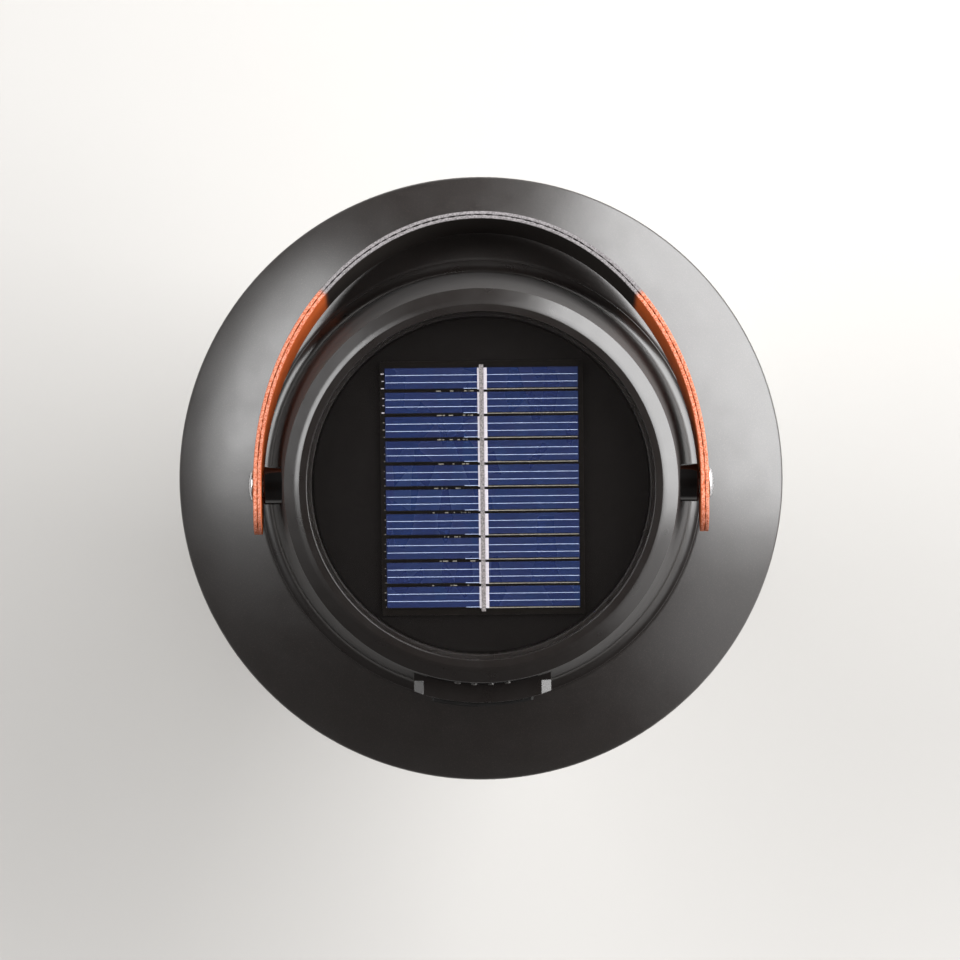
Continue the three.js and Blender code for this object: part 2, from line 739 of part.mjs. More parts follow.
add('bezel_ring', bezelRing(), blackPlastic);
add('window_gasket', ring(50.6, 51.8, SHELF.highTop + GAP, WINDOW.bottom - GAP), rubber);
add('solar_window', solarWindow(), clearWindow);
add('panel_tray', trayDisc, glossBlack);
add('solar_board', onPanel(centred(PANEL.width, PANEL.length, trayTop + GAP, panelTop)), circuitBlack);
for (let row = 0; row < CELL.count; row += 1) add(`solar_cell_${row + 1}`, solarCell(row), cellBlue);
add(
  'bus_ribbon',
  onPanel(centred(RIBBON.width, RIBBON.length, cellTop + SLIM, cellTop + SLIM + RIBBON.thickness)),
  tinned,
);
add('panel_lead', panelLead(), cableBlack);
add('led_lead', ledLead(), cableBlack);

// ---- Strap handle and its pivots -------------------------------------------------------------

function pivotBoss(side) {
  const { radius, end, inner, flangeRadius, flangeOuter, bore } = BOSS;
  const at = (x) => [side * x, 0, PIVOT_Z];
  const body = rod(at(inner), at(end), radius, radius, 24);
  const flange = rod(at(inner), at(flangeOuter), flangeRadius);
  return body.add(flange).subtract(rod(at(STRAP_SCREW.tip - 0.5), at(end + 1), bore));
}

function strapBush(side) {
  const at = (x) => [side * x, 0, PIVOT_Z];
  const outside = rod(at(BUSH.start), at(BUSH.end), BUSH.radius);
  return outside.subtract(rod(at(BUSH.start - 1), at(BUSH.end + 1), BOSS.bore));
}

// A truss head with a cross slot, on a plain shank.
function strapScrew(side) {
  const { head, start, rim, dome, crown, shank, tip } = STRAP_SCREW;
  const { halfLength, halfWidth, floor } = SCREW_SLOT;
  const at = (x) => [side * x, 0, PIVOT_Z];
  const solids = [
    rod(at(start), at(start + rim), head),
    rod(at(start + rim), at(start + dome), head, head - 1.1),
    rod(at(start + dome), at(start + crown), head - 1.1, head - 2.7),
    rod(at(tip), at(start + 0.2), shank),
  ];
  const slotX = [side * (start + floor), side * (start + crown + 1)].sort((a, b) => a - b);
  const slots = [[halfLength, halfWidth], [halfWidth, halfLength]].map(([y, z]) =>
    block(slotX, [-y, y], [PIVOT_Z - z, PIVOT_Z + z]),
  );
  return cut(join(solids), slots);
}

// The strap's centre line in its own plane is half an ellipse with a straight tab at each end.
// This gives that line moved outwards by a distance, as [x, reach] points.
function strapLine(offset) {
  const { centre, reach, tabCentre, width } = STRAP;
  const tabEnd = -(tabCentre + width / 2);
  const steps = 36;
  const arch = Array.from({ length: steps + 1 }, (_, i) => {
    const t = (Math.PI * i) / steps;
    const normal = new THREE.Vector2(Math.cos(t) / centre, Math.sin(t) / reach).normalize();
    return [centre * Math.cos(t) + offset * normal.x, reach * Math.sin(t) + offset * normal.y];
  });
  return [[centre + offset, tabEnd], ...arch, [-centre - offset, tabEnd]];
}

// One layer, modelled standing upright in the XZ plane and then laid down on the shade.
function strapLayer(innerOffset, outerOffset) {
  const { width, tabCentre, hole } = STRAP;
  const outline = [...strapLine(outerOffset), ...strapLine(innerOffset).reverse()];
  const band = plate(outline, -width / 2, width / 2);
  const far = 80;
  const roundEnd = rod([-far, -tabCentre, 0], [far, -tabCentre, 0], width / 2, width / 2, 28);
  const corners = block([-far, far], [-tabCentre - width, -tabCentre], [-width, width]).subtract(roundEnd);
  const pivotHole = rod([-far, 0, 0], [far, 0, 0], hole);
  const layer = cut(band, [corners, pivotHole]);
  const droop = THREE.MathUtils.radToDeg(-STRAP_REST);
  return layer.rotate([droop, 0, 0]).translate([0, 0, PIVOT_Z]);
}

SIDES.forEach(([name, side]) => {
  add(`pivot_boss_${name}`, pivotBoss(side), glossBlack);
  add(`strap_bush_${name}`, strapBush(side), whitePlastic);
  add(`strap_screw_${name}`, strapScrew(side), steel);
});
add('strap_outer', strapLayer(STRAP.split, STRAP.split + STRAP.layer), leather);
add('strap_inner', strapLayer(-STRAP.split - STRAP.layer, -STRAP.split), leatherLining);

export default lantern;
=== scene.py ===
# A solar lantern seen from above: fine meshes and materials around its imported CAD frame, with a
# pale floor, soft lights and the camera. Outlines are in millimetres; MM turns them into metres.

import cmath
import json
import math
import random

import bmesh
import bpy
from mathutils import Matrix, Vector


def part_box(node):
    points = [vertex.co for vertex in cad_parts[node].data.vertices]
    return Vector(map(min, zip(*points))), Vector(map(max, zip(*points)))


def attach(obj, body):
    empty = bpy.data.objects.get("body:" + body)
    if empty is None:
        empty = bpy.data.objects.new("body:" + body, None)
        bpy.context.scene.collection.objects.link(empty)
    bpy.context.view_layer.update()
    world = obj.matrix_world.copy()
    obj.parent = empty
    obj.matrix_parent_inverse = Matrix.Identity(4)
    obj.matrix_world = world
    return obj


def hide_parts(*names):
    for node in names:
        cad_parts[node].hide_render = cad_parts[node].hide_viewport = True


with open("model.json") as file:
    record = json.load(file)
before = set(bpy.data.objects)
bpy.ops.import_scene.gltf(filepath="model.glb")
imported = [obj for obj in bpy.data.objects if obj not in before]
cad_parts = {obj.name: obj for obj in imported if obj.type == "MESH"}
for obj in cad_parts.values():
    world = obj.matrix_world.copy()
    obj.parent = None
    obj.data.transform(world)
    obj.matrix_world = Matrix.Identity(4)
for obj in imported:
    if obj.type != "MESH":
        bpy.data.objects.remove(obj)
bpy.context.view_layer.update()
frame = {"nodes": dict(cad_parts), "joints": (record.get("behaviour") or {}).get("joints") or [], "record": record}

MM = 0.001
TURN_STEPS = 224  # facets round a large turned piece
SMALL_STEPS = 64  # facets round a boss, a button or the head of a strap screw
SCREW_STEPS = 48  # facets round a screw
HOLE_STEPS = 32  # facets round a screw hole or a pip
SCREW_COUNTS = {"base_screw": 3, "housing_screw": 4}


def extent(node):
    """A node's spans along X, Y and Z, in millimetres."""
    low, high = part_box(node)
    return [(low[axis] / MM, high[axis] / MM) for axis in range(3)]


def span(node):
    """A turned node's outer radius, lowest and highest height, in millimetres."""
    across, _, upright = extent(node)
    return across[1], *upright


def over(node):
    """The move from the origin to the upright axis through a node's middle."""
    low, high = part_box(node)
    middle = (low + high) / 2
    return Matrix.Translation((middle.x, middle.y, 0))


def screws(kind):
    """The names of all the screws of one kind."""
    return [f"{kind}_{index}" for index in range(1, SCREW_COUNTS[kind] + 1)]


def joint(name):
    """The frame's entry for a joint."""
    return next(j for j in frame["joints"] if j["name"] == name)


# ---- Camera ----

BEAD = 1.6  # radius of the rolled bead at the shade's rim
CAMERA_DISTANCE = 1.5  # from the middle of the shade's rim
CAMERA_RISE = 0.0576  # how far the camera stands towards +Y from the lantern's axis
CAMERA_LENS = 188.7
CAMERA_ROLL = math.radians(0.45)
CAMERA_AIM = (-0.0003, -0.0003)


def add_camera():
    rim_height = (span("shade")[1] + BEAD) * MM
    target = Vector((*CAMERA_AIM, rim_height))
    place = target + Vector((-CAMERA_AIM[0], CAMERA_RISE - CAMERA_AIM[1], CAMERA_DISTANCE))
    forward = (target - place).normalized()
    right = forward.cross(Vector((0, 1, 0))).normalized()
    axes = Matrix((right, right.cross(forward), -forward)).transposed()
    data = bpy.data.cameras.new("camera")
    data.lens = CAMERA_LENS
    data.clip_start = 0.05
    data.clip_end = 60
    camera = bpy.data.objects.new("camera", data)
    turn = Matrix.Rotation(-CAMERA_ROLL, 4, "Z")
    camera.matrix_world = Matrix.Translation(place) @ axes.to_4x4() @ turn
    bpy.context.scene.collection.objects.link(camera)
    bpy.context.scene.camera = camera


# ---- Materials: helpers ----


def feed(tree, socket, value):
    """Links another node's output to a socket, or sets the socket to a value."""
    if isinstance(value, bpy.types.NodeSocket):
        tree.links.new(value, socket)
    else:
        socket.default_value = value


def add_node(tree, kind, inputs, **settings):
    """A node with its settings, and with inputs that are named or numbered."""
    made = tree.nodes.new(kind)
    for name, value in settings.items():
        setattr(made, name, value)
    for socket, value in inputs.items():
        feed(tree, made.inputs[socket], value)
    return made


def colour_mix(tree, share, first, second):
    """One colour turning into another as share goes from 0 to 1."""
    inputs = {0: share}
    for place, value in ((6, first), (7, second)):
        inputs[place] = (*value, 1) if isinstance(value, tuple) else value
    return add_node(tree, "ShaderNodeMix", inputs, data_type="RGBA").outputs[2]


FINISHES = {}  # every material by its name, which is its slot's name if it has a slot


class Surface:
    """A Principled material, with short ways to build the nodes that feed it."""

    def __init__(self, name, colour, roughness, **sockets):
        material = bpy.data.materials.new(name)
        material.use_nodes = True
        FINISHES[name] = material
        self.tree = material.node_tree
        self.shader = self.tree.nodes["Principled BSDF"]
        self.place = self.tree.nodes.new("ShaderNodeTexCoord").outputs["Object"]
        self.normal = None
        self.set("Base Color", (*colour, 1))
        self.set("Roughness", roughness)
        for socket, value in sockets.items():
            self.set(socket.replace("_", " "), value)

    def set(self, socket, value):
        feed(self.tree, self.shader.inputs[socket], value)

    def node(self, kind, inputs, **settings):
        return add_node(self.tree, kind, inputs, **settings)

    def stretched(self, stretch):
        if stretch is None:
            return self.place
        return self.node("ShaderNodeMapping", {"Vector": self.place, "Scale": stretch}).outputs[0]

    def noise(self, size, detail):
        """Noise from 0 to 1 whose blotches are about size millimetres across."""
        inputs = {"Vector": self.place, "Scale": 1 / (size * MM), "Detail": detail}
        return self.node("ShaderNodeTexNoise", inputs).outputs["Fac"]

    def cells(self, size, output="Distance", feature="F1", stretch=None):
        """A Voronoi pattern whose cells are about size millimetres across."""
        inputs = {"Vector": self.stretched(stretch), "Scale": 1 / (size * MM)}
        return self.node("ShaderNodeTexVoronoi", inputs, feature=feature).outputs[output]

    def fit(self, value, low, high, start=0.0, end=1.0):
        inputs = {"Value": value, "From Min": low, "From Max": high, "To Min": start, "To Max": end}
        return self.node("ShaderNodeMapRange", inputs).outputs["Result"]

    def mix(self, share, first, second):
        return colour_mix(self.tree, share, first, second)

    def math(self, operation, first, second):
        return self.node("ShaderNodeMath", {0: first, 1: second}, operation=operation).outputs[0]

    def attribute(self, name):
        return self.node("ShaderNodeAttribute", {}, attribute_name=name).outputs["Fac"]

    def bump(self, height, depth, strength=1.0):
        """Raises the surface by up to depth millimetres, on top of earlier bumps."""
        inputs = {"Height": height, "Distance": depth * MM, "Strength": strength}
        if self.normal is not None:
            inputs["Normal"] = self.normal
        self.normal = self.node("ShaderNodeBump", inputs).outputs["Normal"]
        self.set("Normal", self.normal)


def shades(colour, factor):
    """The colour, darker or lighter by a factor."""
    return tuple(factor * part for part in colour)


def finish(name, colour, roughness, blotches=None, sheen=None, grain=(), **sockets):
    """A surface whose colour and roughness vary by noise, with fine bumps.

    blotches: their colour, size and detail, then the noise at which they start and are full.
    sheen: size and detail, then the least and most roughness.
    grain: the bumps, each with its size, detail and depth. Sizes and depths are in millimetres.
    """
    surface = Surface(name, colour, roughness, **sockets)
    if blotches:
        other, size, detail, *limits = blotches
        share = surface.noise(size, detail)
        if limits:
            share = surface.fit(share, *limits)
        surface.set("Base Color", surface.mix(share, colour, other))
    if sheen:
        size, detail, *limits = sheen
        surface.set("Roughness", surface.fit(surface.noise(size, detail), 0.3, 0.7, *limits))
    for size, detail, depth in grain:
        surface.bump(surface.noise(size, detail), depth)
    return surface


# ---- Materials ----

BLACK_PAINT = (0.0098, 0.0077, 0.0069)

# Powder coat: a soft orange peel, a fine sparkle and a slightly uneven sheen.
for name in ("shade_paint", "base_paint"):
    finish(
        name, BLACK_PAINT, 0.34, Specular_IOR_Level=0.9,
        blotches=(shades(BLACK_PAINT, 4.5), 0.22, 1, 0.58, 0.74),
        sheen=(9, 3, 0.31, 0.37),
        grain=[(1.6, 1, 0.012), (0.25, 2, 0.008)],
    )


def black_plastic(name):
    """Satin black moulding with a fine texture."""
    return finish(
        name, (0.0085, 0.0066, 0.0059), 0.3, Specular_IOR_Level=0.75,
        blotches=((0.018, 0.0158, 0.0148), 0.3, 2, 0.55, 0.8),
        sheen=(6, 2, 0.27, 0.33),
        grain=[(0.3, 2, 0.008)],
    )


MATT = {"above": 165, "outside": 56, "roughness": 0.42}


def neck_plastic():
    """The same plastic, coarser on the neck's outer wall than in the hollow at its foot."""
    surface = black_plastic("neck_plastic")
    sheen = surface.shader.inputs["Roughness"].links[0].from_socket
    height = surface.node("ShaderNodeSeparateXYZ", {"Vector": surface.place}).outputs["Z"]
    flat = {0: surface.stretched((1, 1, 0))}
    radius = surface.node("ShaderNodeVectorMath", flat, operation="LENGTH").outputs["Value"]
    coarse = surface.math(
        "MULTIPLY",
        surface.fit(height, MATT["above"] * MM, (MATT["above"] + 2) * MM, 0, MATT["roughness"]),
        surface.fit(radius, MATT["outside"] * MM, (MATT["outside"] + 0.5) * MM),
    )
    surface.set("Roughness", surface.math("ADD", sheen, coarse))


black_plastic("black_plastic")
neck_plastic()

# Polished black acrylic with a little dust.
finish(
    "gloss_black", (0.0045, 0.004, 0.0038), 0.12,
    blotches=((0.022, 0.021, 0.02), 0.35, 1, 0.72, 0.8),
    sheen=(3, 3, 0.08, 0.151),
    grain=[(7, 1, 0.01)],
)

# White mouldings, and the white lacquer of the lamp's board.
for name, colour, roughness in (
    ("white_plastic", (0.8, 0.79, 0.76), 0.45), ("led_board_white", (0.78, 0.78, 0.76), 0.35),
):
    finish(
        name, colour, roughness, Subsurface_Weight=0.08, Subsurface_Scale=0.002,
        blotches=(shades(colour, 0.92), 8, 3),
        grain=[(0.4, 2, 0.006)],
    )

# Frosted tube that glows a little where light gets into it.
finish(
    "opal", (0.6, 0.59, 0.555), 0.38, Subsurface_Weight=0.6, Subsurface_Scale=0.006,
    blotches=((0.56, 0.55, 0.515), 25, 2),
    sheen=(5, 3, 0.34, 0.42),
    grain=[(0.5, 2, 0.005)],
)

# Clear acrylic with a faint, uneven film of dust.
finish(
    "window", (0.97, 0.98, 0.98), 0.0, IOR=1.49, Transmission_Weight=1.0,
    blotches=((0.93, 0.93, 0.92), 14, 4, 0.4, 0.8),
)

# Matt black rubber, dusty in places.
finish(
    "rubber", (0.01, 0.0095, 0.0092), 0.62, Specular_IOR_Level=0.3,
    blotches=((0.018, 0.0172, 0.0168), 4, 5, 0.45, 0.75),
    sheen=(2.5, 3, 0.54, 0.7),
    grain=[(0.35, 3, 0.012)],
)

# Bright zinc plate with faint rub marks.
finish(
    "steel", (0.66, 0.66, 0.67), 0.24, Metallic=1.0,
    blotches=((0.52, 0.52, 0.535), 1.5, 4),
    sheen=(0.6, 3, 0.17, 0.32),
    grain=[(0.9, 3, 0.006)],
)

# The solar panel's matt black lacquer.
finish(
    "panel_board", (0.0032, 0.0026, 0.0022), 0.3, Specular_IOR_Level=0.1,
    blotches=((0.005, 0.0042, 0.0036), 1.2, 3),
    grain=[(0.5, 2, 0.004)],
)

# The yellow phosphor of a white LED that is off.
finish(
    "led", (0.84, 0.66, 0.14), 0.35, Coat_Weight=0.6, Coat_Roughness=0.1,
    blotches=((0.72, 0.52, 0.08), 0.3, 2),
)

# The battery's shrink wrap.
finish(
    "battery_wrap", (0.05, 0.2, 0.48), 0.3,
    blotches=((0.04, 0.17, 0.42), 12, 3),
    grain=[(5, 2, 0.03)],
)

# Tinned copper, slightly frosted by solder.
finish(
    "tinned", (0.27, 0.245, 0.24), 0.42, Metallic=0.25,
    blotches=((0.12, 0.108, 0.11), 0.45, 2, 0.4, 0.6),
    sheen=(0.5, 3, 0.32, 0.55),
    grain=[(0.6, 3, 0.01)],
)

# Cable sheath, and smoked clear plastic so dark that it looks black.
finish("cable", (0.018, 0.018, 0.018), 0.5, sheen=(1.2, 3, 0.42, 0.58), grain=[(0.6, 2, 0.01)])
finish("smoked", (0.012, 0.012, 0.014), 0.14, Coat_Weight=0.3, sheen=(2, 3, 0.1, 0.2))

# Screen-printed silver, the paler blue look of its finest lines, and beige solder flux.
finish(
    "silver_print", (0.56, 0.52, 0.55), 0.5,
    blotches=((0.36, 0.33, 0.37), 0.5, 3),
    grain=[(0.3, 2, 0.006)],
)
finish("finger_print", (0.42, 0.48, 0.62), 0.5, blotches=((0.22, 0.28, 0.45), 3, 3))
finish("flux", (0.27, 0.25, 0.21), 0.4, blotches=((0.05, 0.045, 0.036), 0.4, 3))

finish("pip_lens", (0.1, 0.094, 0.088), 0.35, blotches=((0.03, 0.028, 0.027), 0.3, 1))
finish("floor", (0.52, 0.51, 0.495), 0.75, blotches=((0.48, 0.47, 0.455), 400, 3))

ORANGE = {
    "leather": (0.46, 0.13, 0.045), "leather_lining": (0.68, 0.135, 0.03),
    "pale_fibre": (0.63, 0.27, 0.185), "deep_fibre": (0.42, 0.1, 0.045),
}
DYED = {"edge": (0.25, 0.235, 0.24), "face": (0.022, 0.018, 0.016), "mottle": (0.02, 0.017, 0.015)}


def leather(name):
    """Leather with pebbled faces and raw, fibrous cut edges, dyed charcoal at the grip."""
    face = ORANGE[name]
    surface = Surface(name, face, 0.7, Specular_IOR_Level=0.12)
    raw = surface.attribute("cut_edge")
    fibre = surface.fit(surface.noise(0.45, 3), 0.41, 0.59)
    mottle = surface.noise(5, 4)
    looks = []
    for darker, own_face, deep, pale in (
        (shades(face, 0.72), face, ORANGE["deep_fibre"], ORANGE["pale_fibre"]),
        (DYED["mottle"], DYED["face"], shades(DYED["edge"], 0.55), DYED["edge"]),
    ):
        edge = surface.mix(fibre, deep, pale)
        looks.append(surface.mix(raw, surface.mix(mottle, own_face, darker), edge))
    surface.set("Base Color", surface.mix(surface.attribute("grip_dye"), *looks))
    surface.set("Roughness", surface.fit(raw, 0, 1, 0.65, 0.9))
    surface.bump(surface.cells(0.9, feature="SMOOTH_F1"), 0.05, 0.5)
    surface.bump(surface.noise(0.25, 3), 0.03, 0.6)


def solar_cell():
    """Polycrystalline silicon: flat grains of slightly different blues under a blue coating."""
    surface = Surface("solar_cell", (0.0065, 0.0125, 0.05), 0.28, Specular_IOR_Level=0.4)
    grain = surface.cells(4.5, output="Color", stretch=(1, 0.45, 0.02))
    split = surface.node("ShaderNodeSeparateColor", {"Color": grain})
    blues = surface.mix(split.outputs[0], (0.0062, 0.0128, 0.05), (0.0074, 0.0122, 0.048))
    blues = surface.mix(surface.fit(split.outputs[1], 0.6, 1), blues, (0.0064, 0.0152, 0.054))
    surface.set("Base Color", blues)
    surface.set("Roughness", surface.fit(split.outputs[2], 0, 1, 0.25, 0.33))
    surface.bump(surface.noise(0.3, 2), 0.004)


def circuit_board():
    """Green lacquer over faint copper tracks."""
    colour = (0.02, 0.1, 0.05)
    surface = Surface("circuit_board", colour, 0.42)
    tracks = surface.cells(3.2, feature="DISTANCE_TO_EDGE", stretch=(1, 1, 0.02))
    lacquer = surface.mix(surface.fit(tracks, 0.06, 0.1), shades(colour, 1.6), colour)
    surface.set("Base Color", lacquer)
    surface.bump(surface.fit(tracks, 0.06, 0.1, 1, 0), 0.02)
    surface.bump(surface.noise(0.5, 2), 0.004)


leather("leather")
leather("leather_lining")
solar_cell()
circuit_board()

SLOT_OF = {part["node"]: part["material_slot"] for part in frame["record"]["subparts"]}
BODY_OF = {
    node: body
    for body, nodes in frame["record"]["behaviour"]["bodies"].items()
    for node in nodes
}

# ---- Mesh helpers ----


def rounded(points, segments=6):
    """A closed outline of (a, b) corners. A corner given as (a, b, radius) becomes an arc."""
    outline = []
    for index, point in enumerate(points):
        corner = complex(point[0], point[1])
        if len(point) < 3:
            outline.append((corner.real, corner.imag))
            continue
        radius = point[2]
        before = complex(*points[index - 1][:2]) - corner
        after = complex(*points[(index + 1) % len(points)][:2]) - corner
        before /= abs(before)
        after /= abs(after)
        half = abs(cmath.phase(after / before)) / 2
        middle = before + after
        centre = corner + middle / abs(middle) * radius / math.sin(half)
        start = corner + before * radius / math.tan(half) - centre
        sweep = cmath.phase((corner + after * radius / math.tan(half) - centre) / start)
        for step in range(segments + 1):
            spot = centre + start * cmath.exp(1j * sweep * step / segments)
            outline.append((spot.real, spot.imag))
    return outline


def arc(centre, radius, start, end, steps):
    """Points of an arc about centre, between two angles in degrees."""
    angles = (math.radians(start + (end - start) * step / steps) for step in range(steps + 1))
    return [(centre[0] + radius * math.cos(a), centre[1] + radius * math.sin(a)) for a in angles]


def object_from(name, maker):
    """A linked object from an open bmesh, in metres."""
    mesh = bpy.data.meshes.new(name)
    maker.to_mesh(mesh)
    maker.free()
    piece = bpy.data.objects.new(name, mesh)
    bpy.context.scene.collection.objects.link(piece)
    return piece


def keep_edges_over(piece, angle):
    """Leaves only the edges over an angle in degrees sharp."""
    piece.data.set_sharp_from_angle(angle=math.radians(angle))


def piece_from(name, maker, sharp=40):
    """A linked object whose faces point outwards, smooth but for its sharp edges."""
    bmesh.ops.recalc_face_normals(maker, faces=maker.faces)
    piece = object_from(name, maker)
    piece.data.shade_smooth()
    keep_edges_over(piece, sharp)
    return piece


def turned(name, outline, steps=TURN_STEPS, sharp=40):
    """A closed outline of (radius, height) points, in millimetres, turned about Z."""
    maker = bmesh.new()
    rings = []
    for radius, height in outline:
        if radius < 1e-6:
            rings.append([maker.verts.new((0, 0, height * MM))])
            continue
        angles = (2 * math.pi * step / steps for step in range(steps))
        rings.append([
            maker.verts.new((radius * math.cos(a) * MM, radius * math.sin(a) * MM, height * MM))
            for a in angles
        ])
    for ring, following in zip(rings, rings[1:] + rings[:1]):
        if len(ring) == 1 and len(following) == 1:
            continue
        for step in range(steps):
            places = ((ring, step), (following, step), (following, step + 1), (ring, step + 1))
            corners = [circle[place % len(circle)] for circle, place in places]
            maker.faces.new(dict.fromkeys(corners))  # a quad, or a triangle at the axis
    return piece_from(name, maker, sharp)


def extruded(name, outline, low, high, axis="Z"):
    """A closed outline drawn out between two places along Z, or along Y, in millimetres."""
    maker = bmesh.new()
    ends = []
    for depth in (low, high):
        corners = [(a, b, depth) if axis == "Z" else (a, depth, b) for a, b in outline]
        ends.append([maker.verts.new(Vector(corner) * MM) for corner in corners])
    for end in ends:
        maker.faces.new(end)
    count = len(outline)
    for index in range(count):
        other = (index + 1) % count
        maker.faces.new((ends[0][index], ends[0][other], ends[1][other], ends[1][index]))
    return piece_from(name, maker)


def box_outline(x_span, y_span, corner=0.0):
    (x0, x1), (y0, y1) = x_span, y_span
    corners = [(x0, y0), (x1, y0), (x1, y1), (x0, y1)]
    if not corner:
        return corners
    return rounded([(x, y, corner) for x, y in corners])


def settle(piece):
    """Turns the piece's modifiers into its mesh."""
    shown = piece.evaluated_get(bpy.context.evaluated_depsgraph_get())
    mesh = bpy.data.meshes.new_from_object(shown)
    piece.modifiers.clear()
    piece.data = mesh
    return piece


def carve(piece, *tools, operation="DIFFERENCE"):
    """Cuts tools from a piece, or joins them to it, and removes them."""
    for tool in tools:
        cut = piece.modifiers.new("cut", "BOOLEAN")
        cut.solver = "EXACT"
        cut.operation = operation
        cut.object = tool
        settle(piece)
        bpy.data.objects.remove(tool)
    return piece


def soften(piece, width, segments=2, angle=35, sharp=40):
    """Rounds the edges over angle degrees by width millimetres."""
    bevel = piece.modifiers.new("soften", "BEVEL")
    bevel.width = width * MM
    bevel.segments = segments
    bevel.limit_method = "ANGLE"
    bevel.angle_limit = math.radians(angle)
    bevel.miter_outer = "MITER_ARC"
    settle(piece)
    piece.data.shade_smooth()
    keep_edges_over(piece, sharp)
    return piece


def moved(piece, matrix):
    """Moves the piece's mesh, and leaves its object at the origin."""
    piece.data.transform(matrix)
    return piece


def along_x(side, height):
    """Stands a piece turned about Z on the X axis instead, pointing outwards on one side."""
    turn = Matrix.Rotation(math.radians(90 * side), 4, "Y")
    return Matrix.Translation((0, 0, height * MM)) @ turn


def joined(name, parts):
    """One object from several, each of which keeps its one material."""
    maker = bmesh.new()
    materials = []
    for part in parts:
        start = len(maker.faces)
        maker.from_mesh(part.data)
        maker.faces.ensure_lookup_table()
        material = part.data.materials[0]
        if material not in materials:
            materials.append(material)
        for face in maker.faces[start:]:
            face.material_index = materials.index(material)
        bpy.data.objects.remove(part)
    piece = object_from(name, maker)
    for material in materials:
        piece.data.materials.append(material)
    return piece


def paint(piece, name):
    """Gives the piece one material."""
    piece.data.materials.clear()
    piece.data.materials.append(FINISHES[name])


def install(piece, node):
    """The piece stands for a CAD node: it takes its finish and rides on its body."""
    if not piece.data.materials:
        paint(piece, SLOT_OF[node])
    weighted = piece.modifiers.new("even_normals", "WEIGHTED_NORMAL")
    weighted.keep_sharp = True
    weighted.weight = 100
    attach(piece, BODY_OF[node])
    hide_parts(node)
    return piece


def refined(node, width):
    """A CAD node's own shape, welded and with softened edges."""
    maker = bmesh.new()
    maker.from_mesh(frame["nodes"][node].data)
    bmesh.ops.remove_doubles(maker, verts=maker.verts, dist=0.001 * MM)
    bmesh.ops.dissolve_limit(
        maker, angle_limit=math.radians(1), verts=maker.verts, edges=maker.edges
    )
    return soften(piece_from(f"{node}_fine", maker), width)


# ---- Base ----

CUP = {
    "wall": 7, "gap": 0.3, "recess_gap": 1.2, "lower_edge": 3.6, "screw_head": 3.3,
    "screw_hole": 1.8,
}


def round_bar(radius, start, end, steps=SMALL_STEPS):
    """A cutting tool along Z."""
    return turned("tool", [(0, start), (radius, start), (radius, end), (0, end)], steps)


def screw_hole(piece, node, radius, start, end):
    """Cuts a round hole on a screw's axis."""
    carve(piece, moved(round_bar(radius, start, end, HOLE_STEPS), over(node)))


def make_foot_pad():
    """A rubber disc whose underside has fine ring-shaped grooves."""
    radius, bottom, top = span("foot_pad")
    groove_pitch = 4
    groove = ((-0.7, 0), (-0.35, 0.6), (0.35, 0.6), (0.7, 0))
    under = [(0, bottom)]
    for ring in range(3, int((radius - 4) // groove_pitch)):
        middle = ring * groove_pitch
        under += [(middle + out, bottom + deep) for out, deep in groove]
    edge = rounded([(radius, bottom, 0.9), (radius, top, 0.3), (0, top), (0, bottom)])[:-2]
    install(turned("foot_pad_fine", under + edge + [(0, top)]), "foot_pad")


def make_base_cup():
    radius, bottom, top = span("base_cup")
    tube = span("diffuser")[0] + CUP["gap"]
    ledge = span("lower_diffuser_seal")[1] - CUP["gap"]
    recess = span("base_weight")[0] + CUP["recess_gap"]
    floor_top = span("base_weight")[1] - CUP["gap"]
    well = radius - CUP["wall"]
    outline = rounded([
        (0, bottom), (radius - CUP["lower_edge"], bottom, 0.5),
        (radius, bottom + CUP["lower_edge"], 2.8), (radius, top, 3), (well, top, 0.7),
        (well, top - 8, 0.4), (tube, top - 9), (tube, ledge), (recess, ledge),
        (recess, floor_top), (0, floor_top),
    ])
    cup = turned("base_cup_fine", outline)
    for node in screws("base_screw"):
        screw_hole(cup, node, CUP["screw_head"], bottom - 1, bottom + 2)
        screw_hole(cup, node, CUP["screw_hole"], bottom - 1, floor_top + 1)
    keep_edges_over(cup, 40)
    install(cup, "base_cup")


SCREW = {"head_height": 1.7, "shank": 1.5, "slot_reach": 0.62, "slot": 0.35}


def cross_slot(piece, reach, half_width, start, end):
    """Cuts a cross along Z into the head of a screw."""
    for x, y in ((reach, half_width), (half_width, reach)):
        carve(piece, extruded("tool", box_outline((-x, x), (-y, y)), start, end))


def make_hidden_screws():
    """Pan-head screws that point up from heads with a cross slot."""
    for node in screws("base_screw") + screws("housing_screw"):
        low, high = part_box(node)
        head = (high.x - low.x) / 2 / MM
        length = (high.z - low.z) / MM
        outline = rounded([
            (0, 0), (head, 0, 0.8), (head, SCREW["head_height"], 0.2),
            (SCREW["shank"], SCREW["head_height"]), (SCREW["shank"], length, 0.3), (0, length),
        ])
        body = turned(f"{node}_fine", outline, SCREW_STEPS)
        slot_top = SCREW["head_height"] * 0.6
        cross_slot(body, head * SCREW["slot_reach"], SCREW["slot"], -1, slot_top)
        keep_edges_over(body, 40)
        moved(body, Matrix.Translation((0, 0, low.z)) @ over(node))
        install(body, node)


# ---- Light tube and shade ----

DIFFUSER_WALL = 2.2


def make_diffuser():
    radius, bottom, top = span("diffuser")
    bore = radius - DIFFUSER_WALL
    corners = [(bore, bottom, 0.4), (radius, bottom, 0.4), (radius, top, 0.4), (bore, top, 0.4)]
    install(turned("diffuser_fine", rounded(corners)), "diffuser")


RINGS = {  # bore, and radius of the edges
    "lower_diffuser_seal": (39.8, 0.15), "upper_diffuser_seal": (39.8, 0.15),
    "shade_gasket": (62.9, 0.15), "window_gasket": (50.6, 0.3), "led_board": (3, 0.2),
}


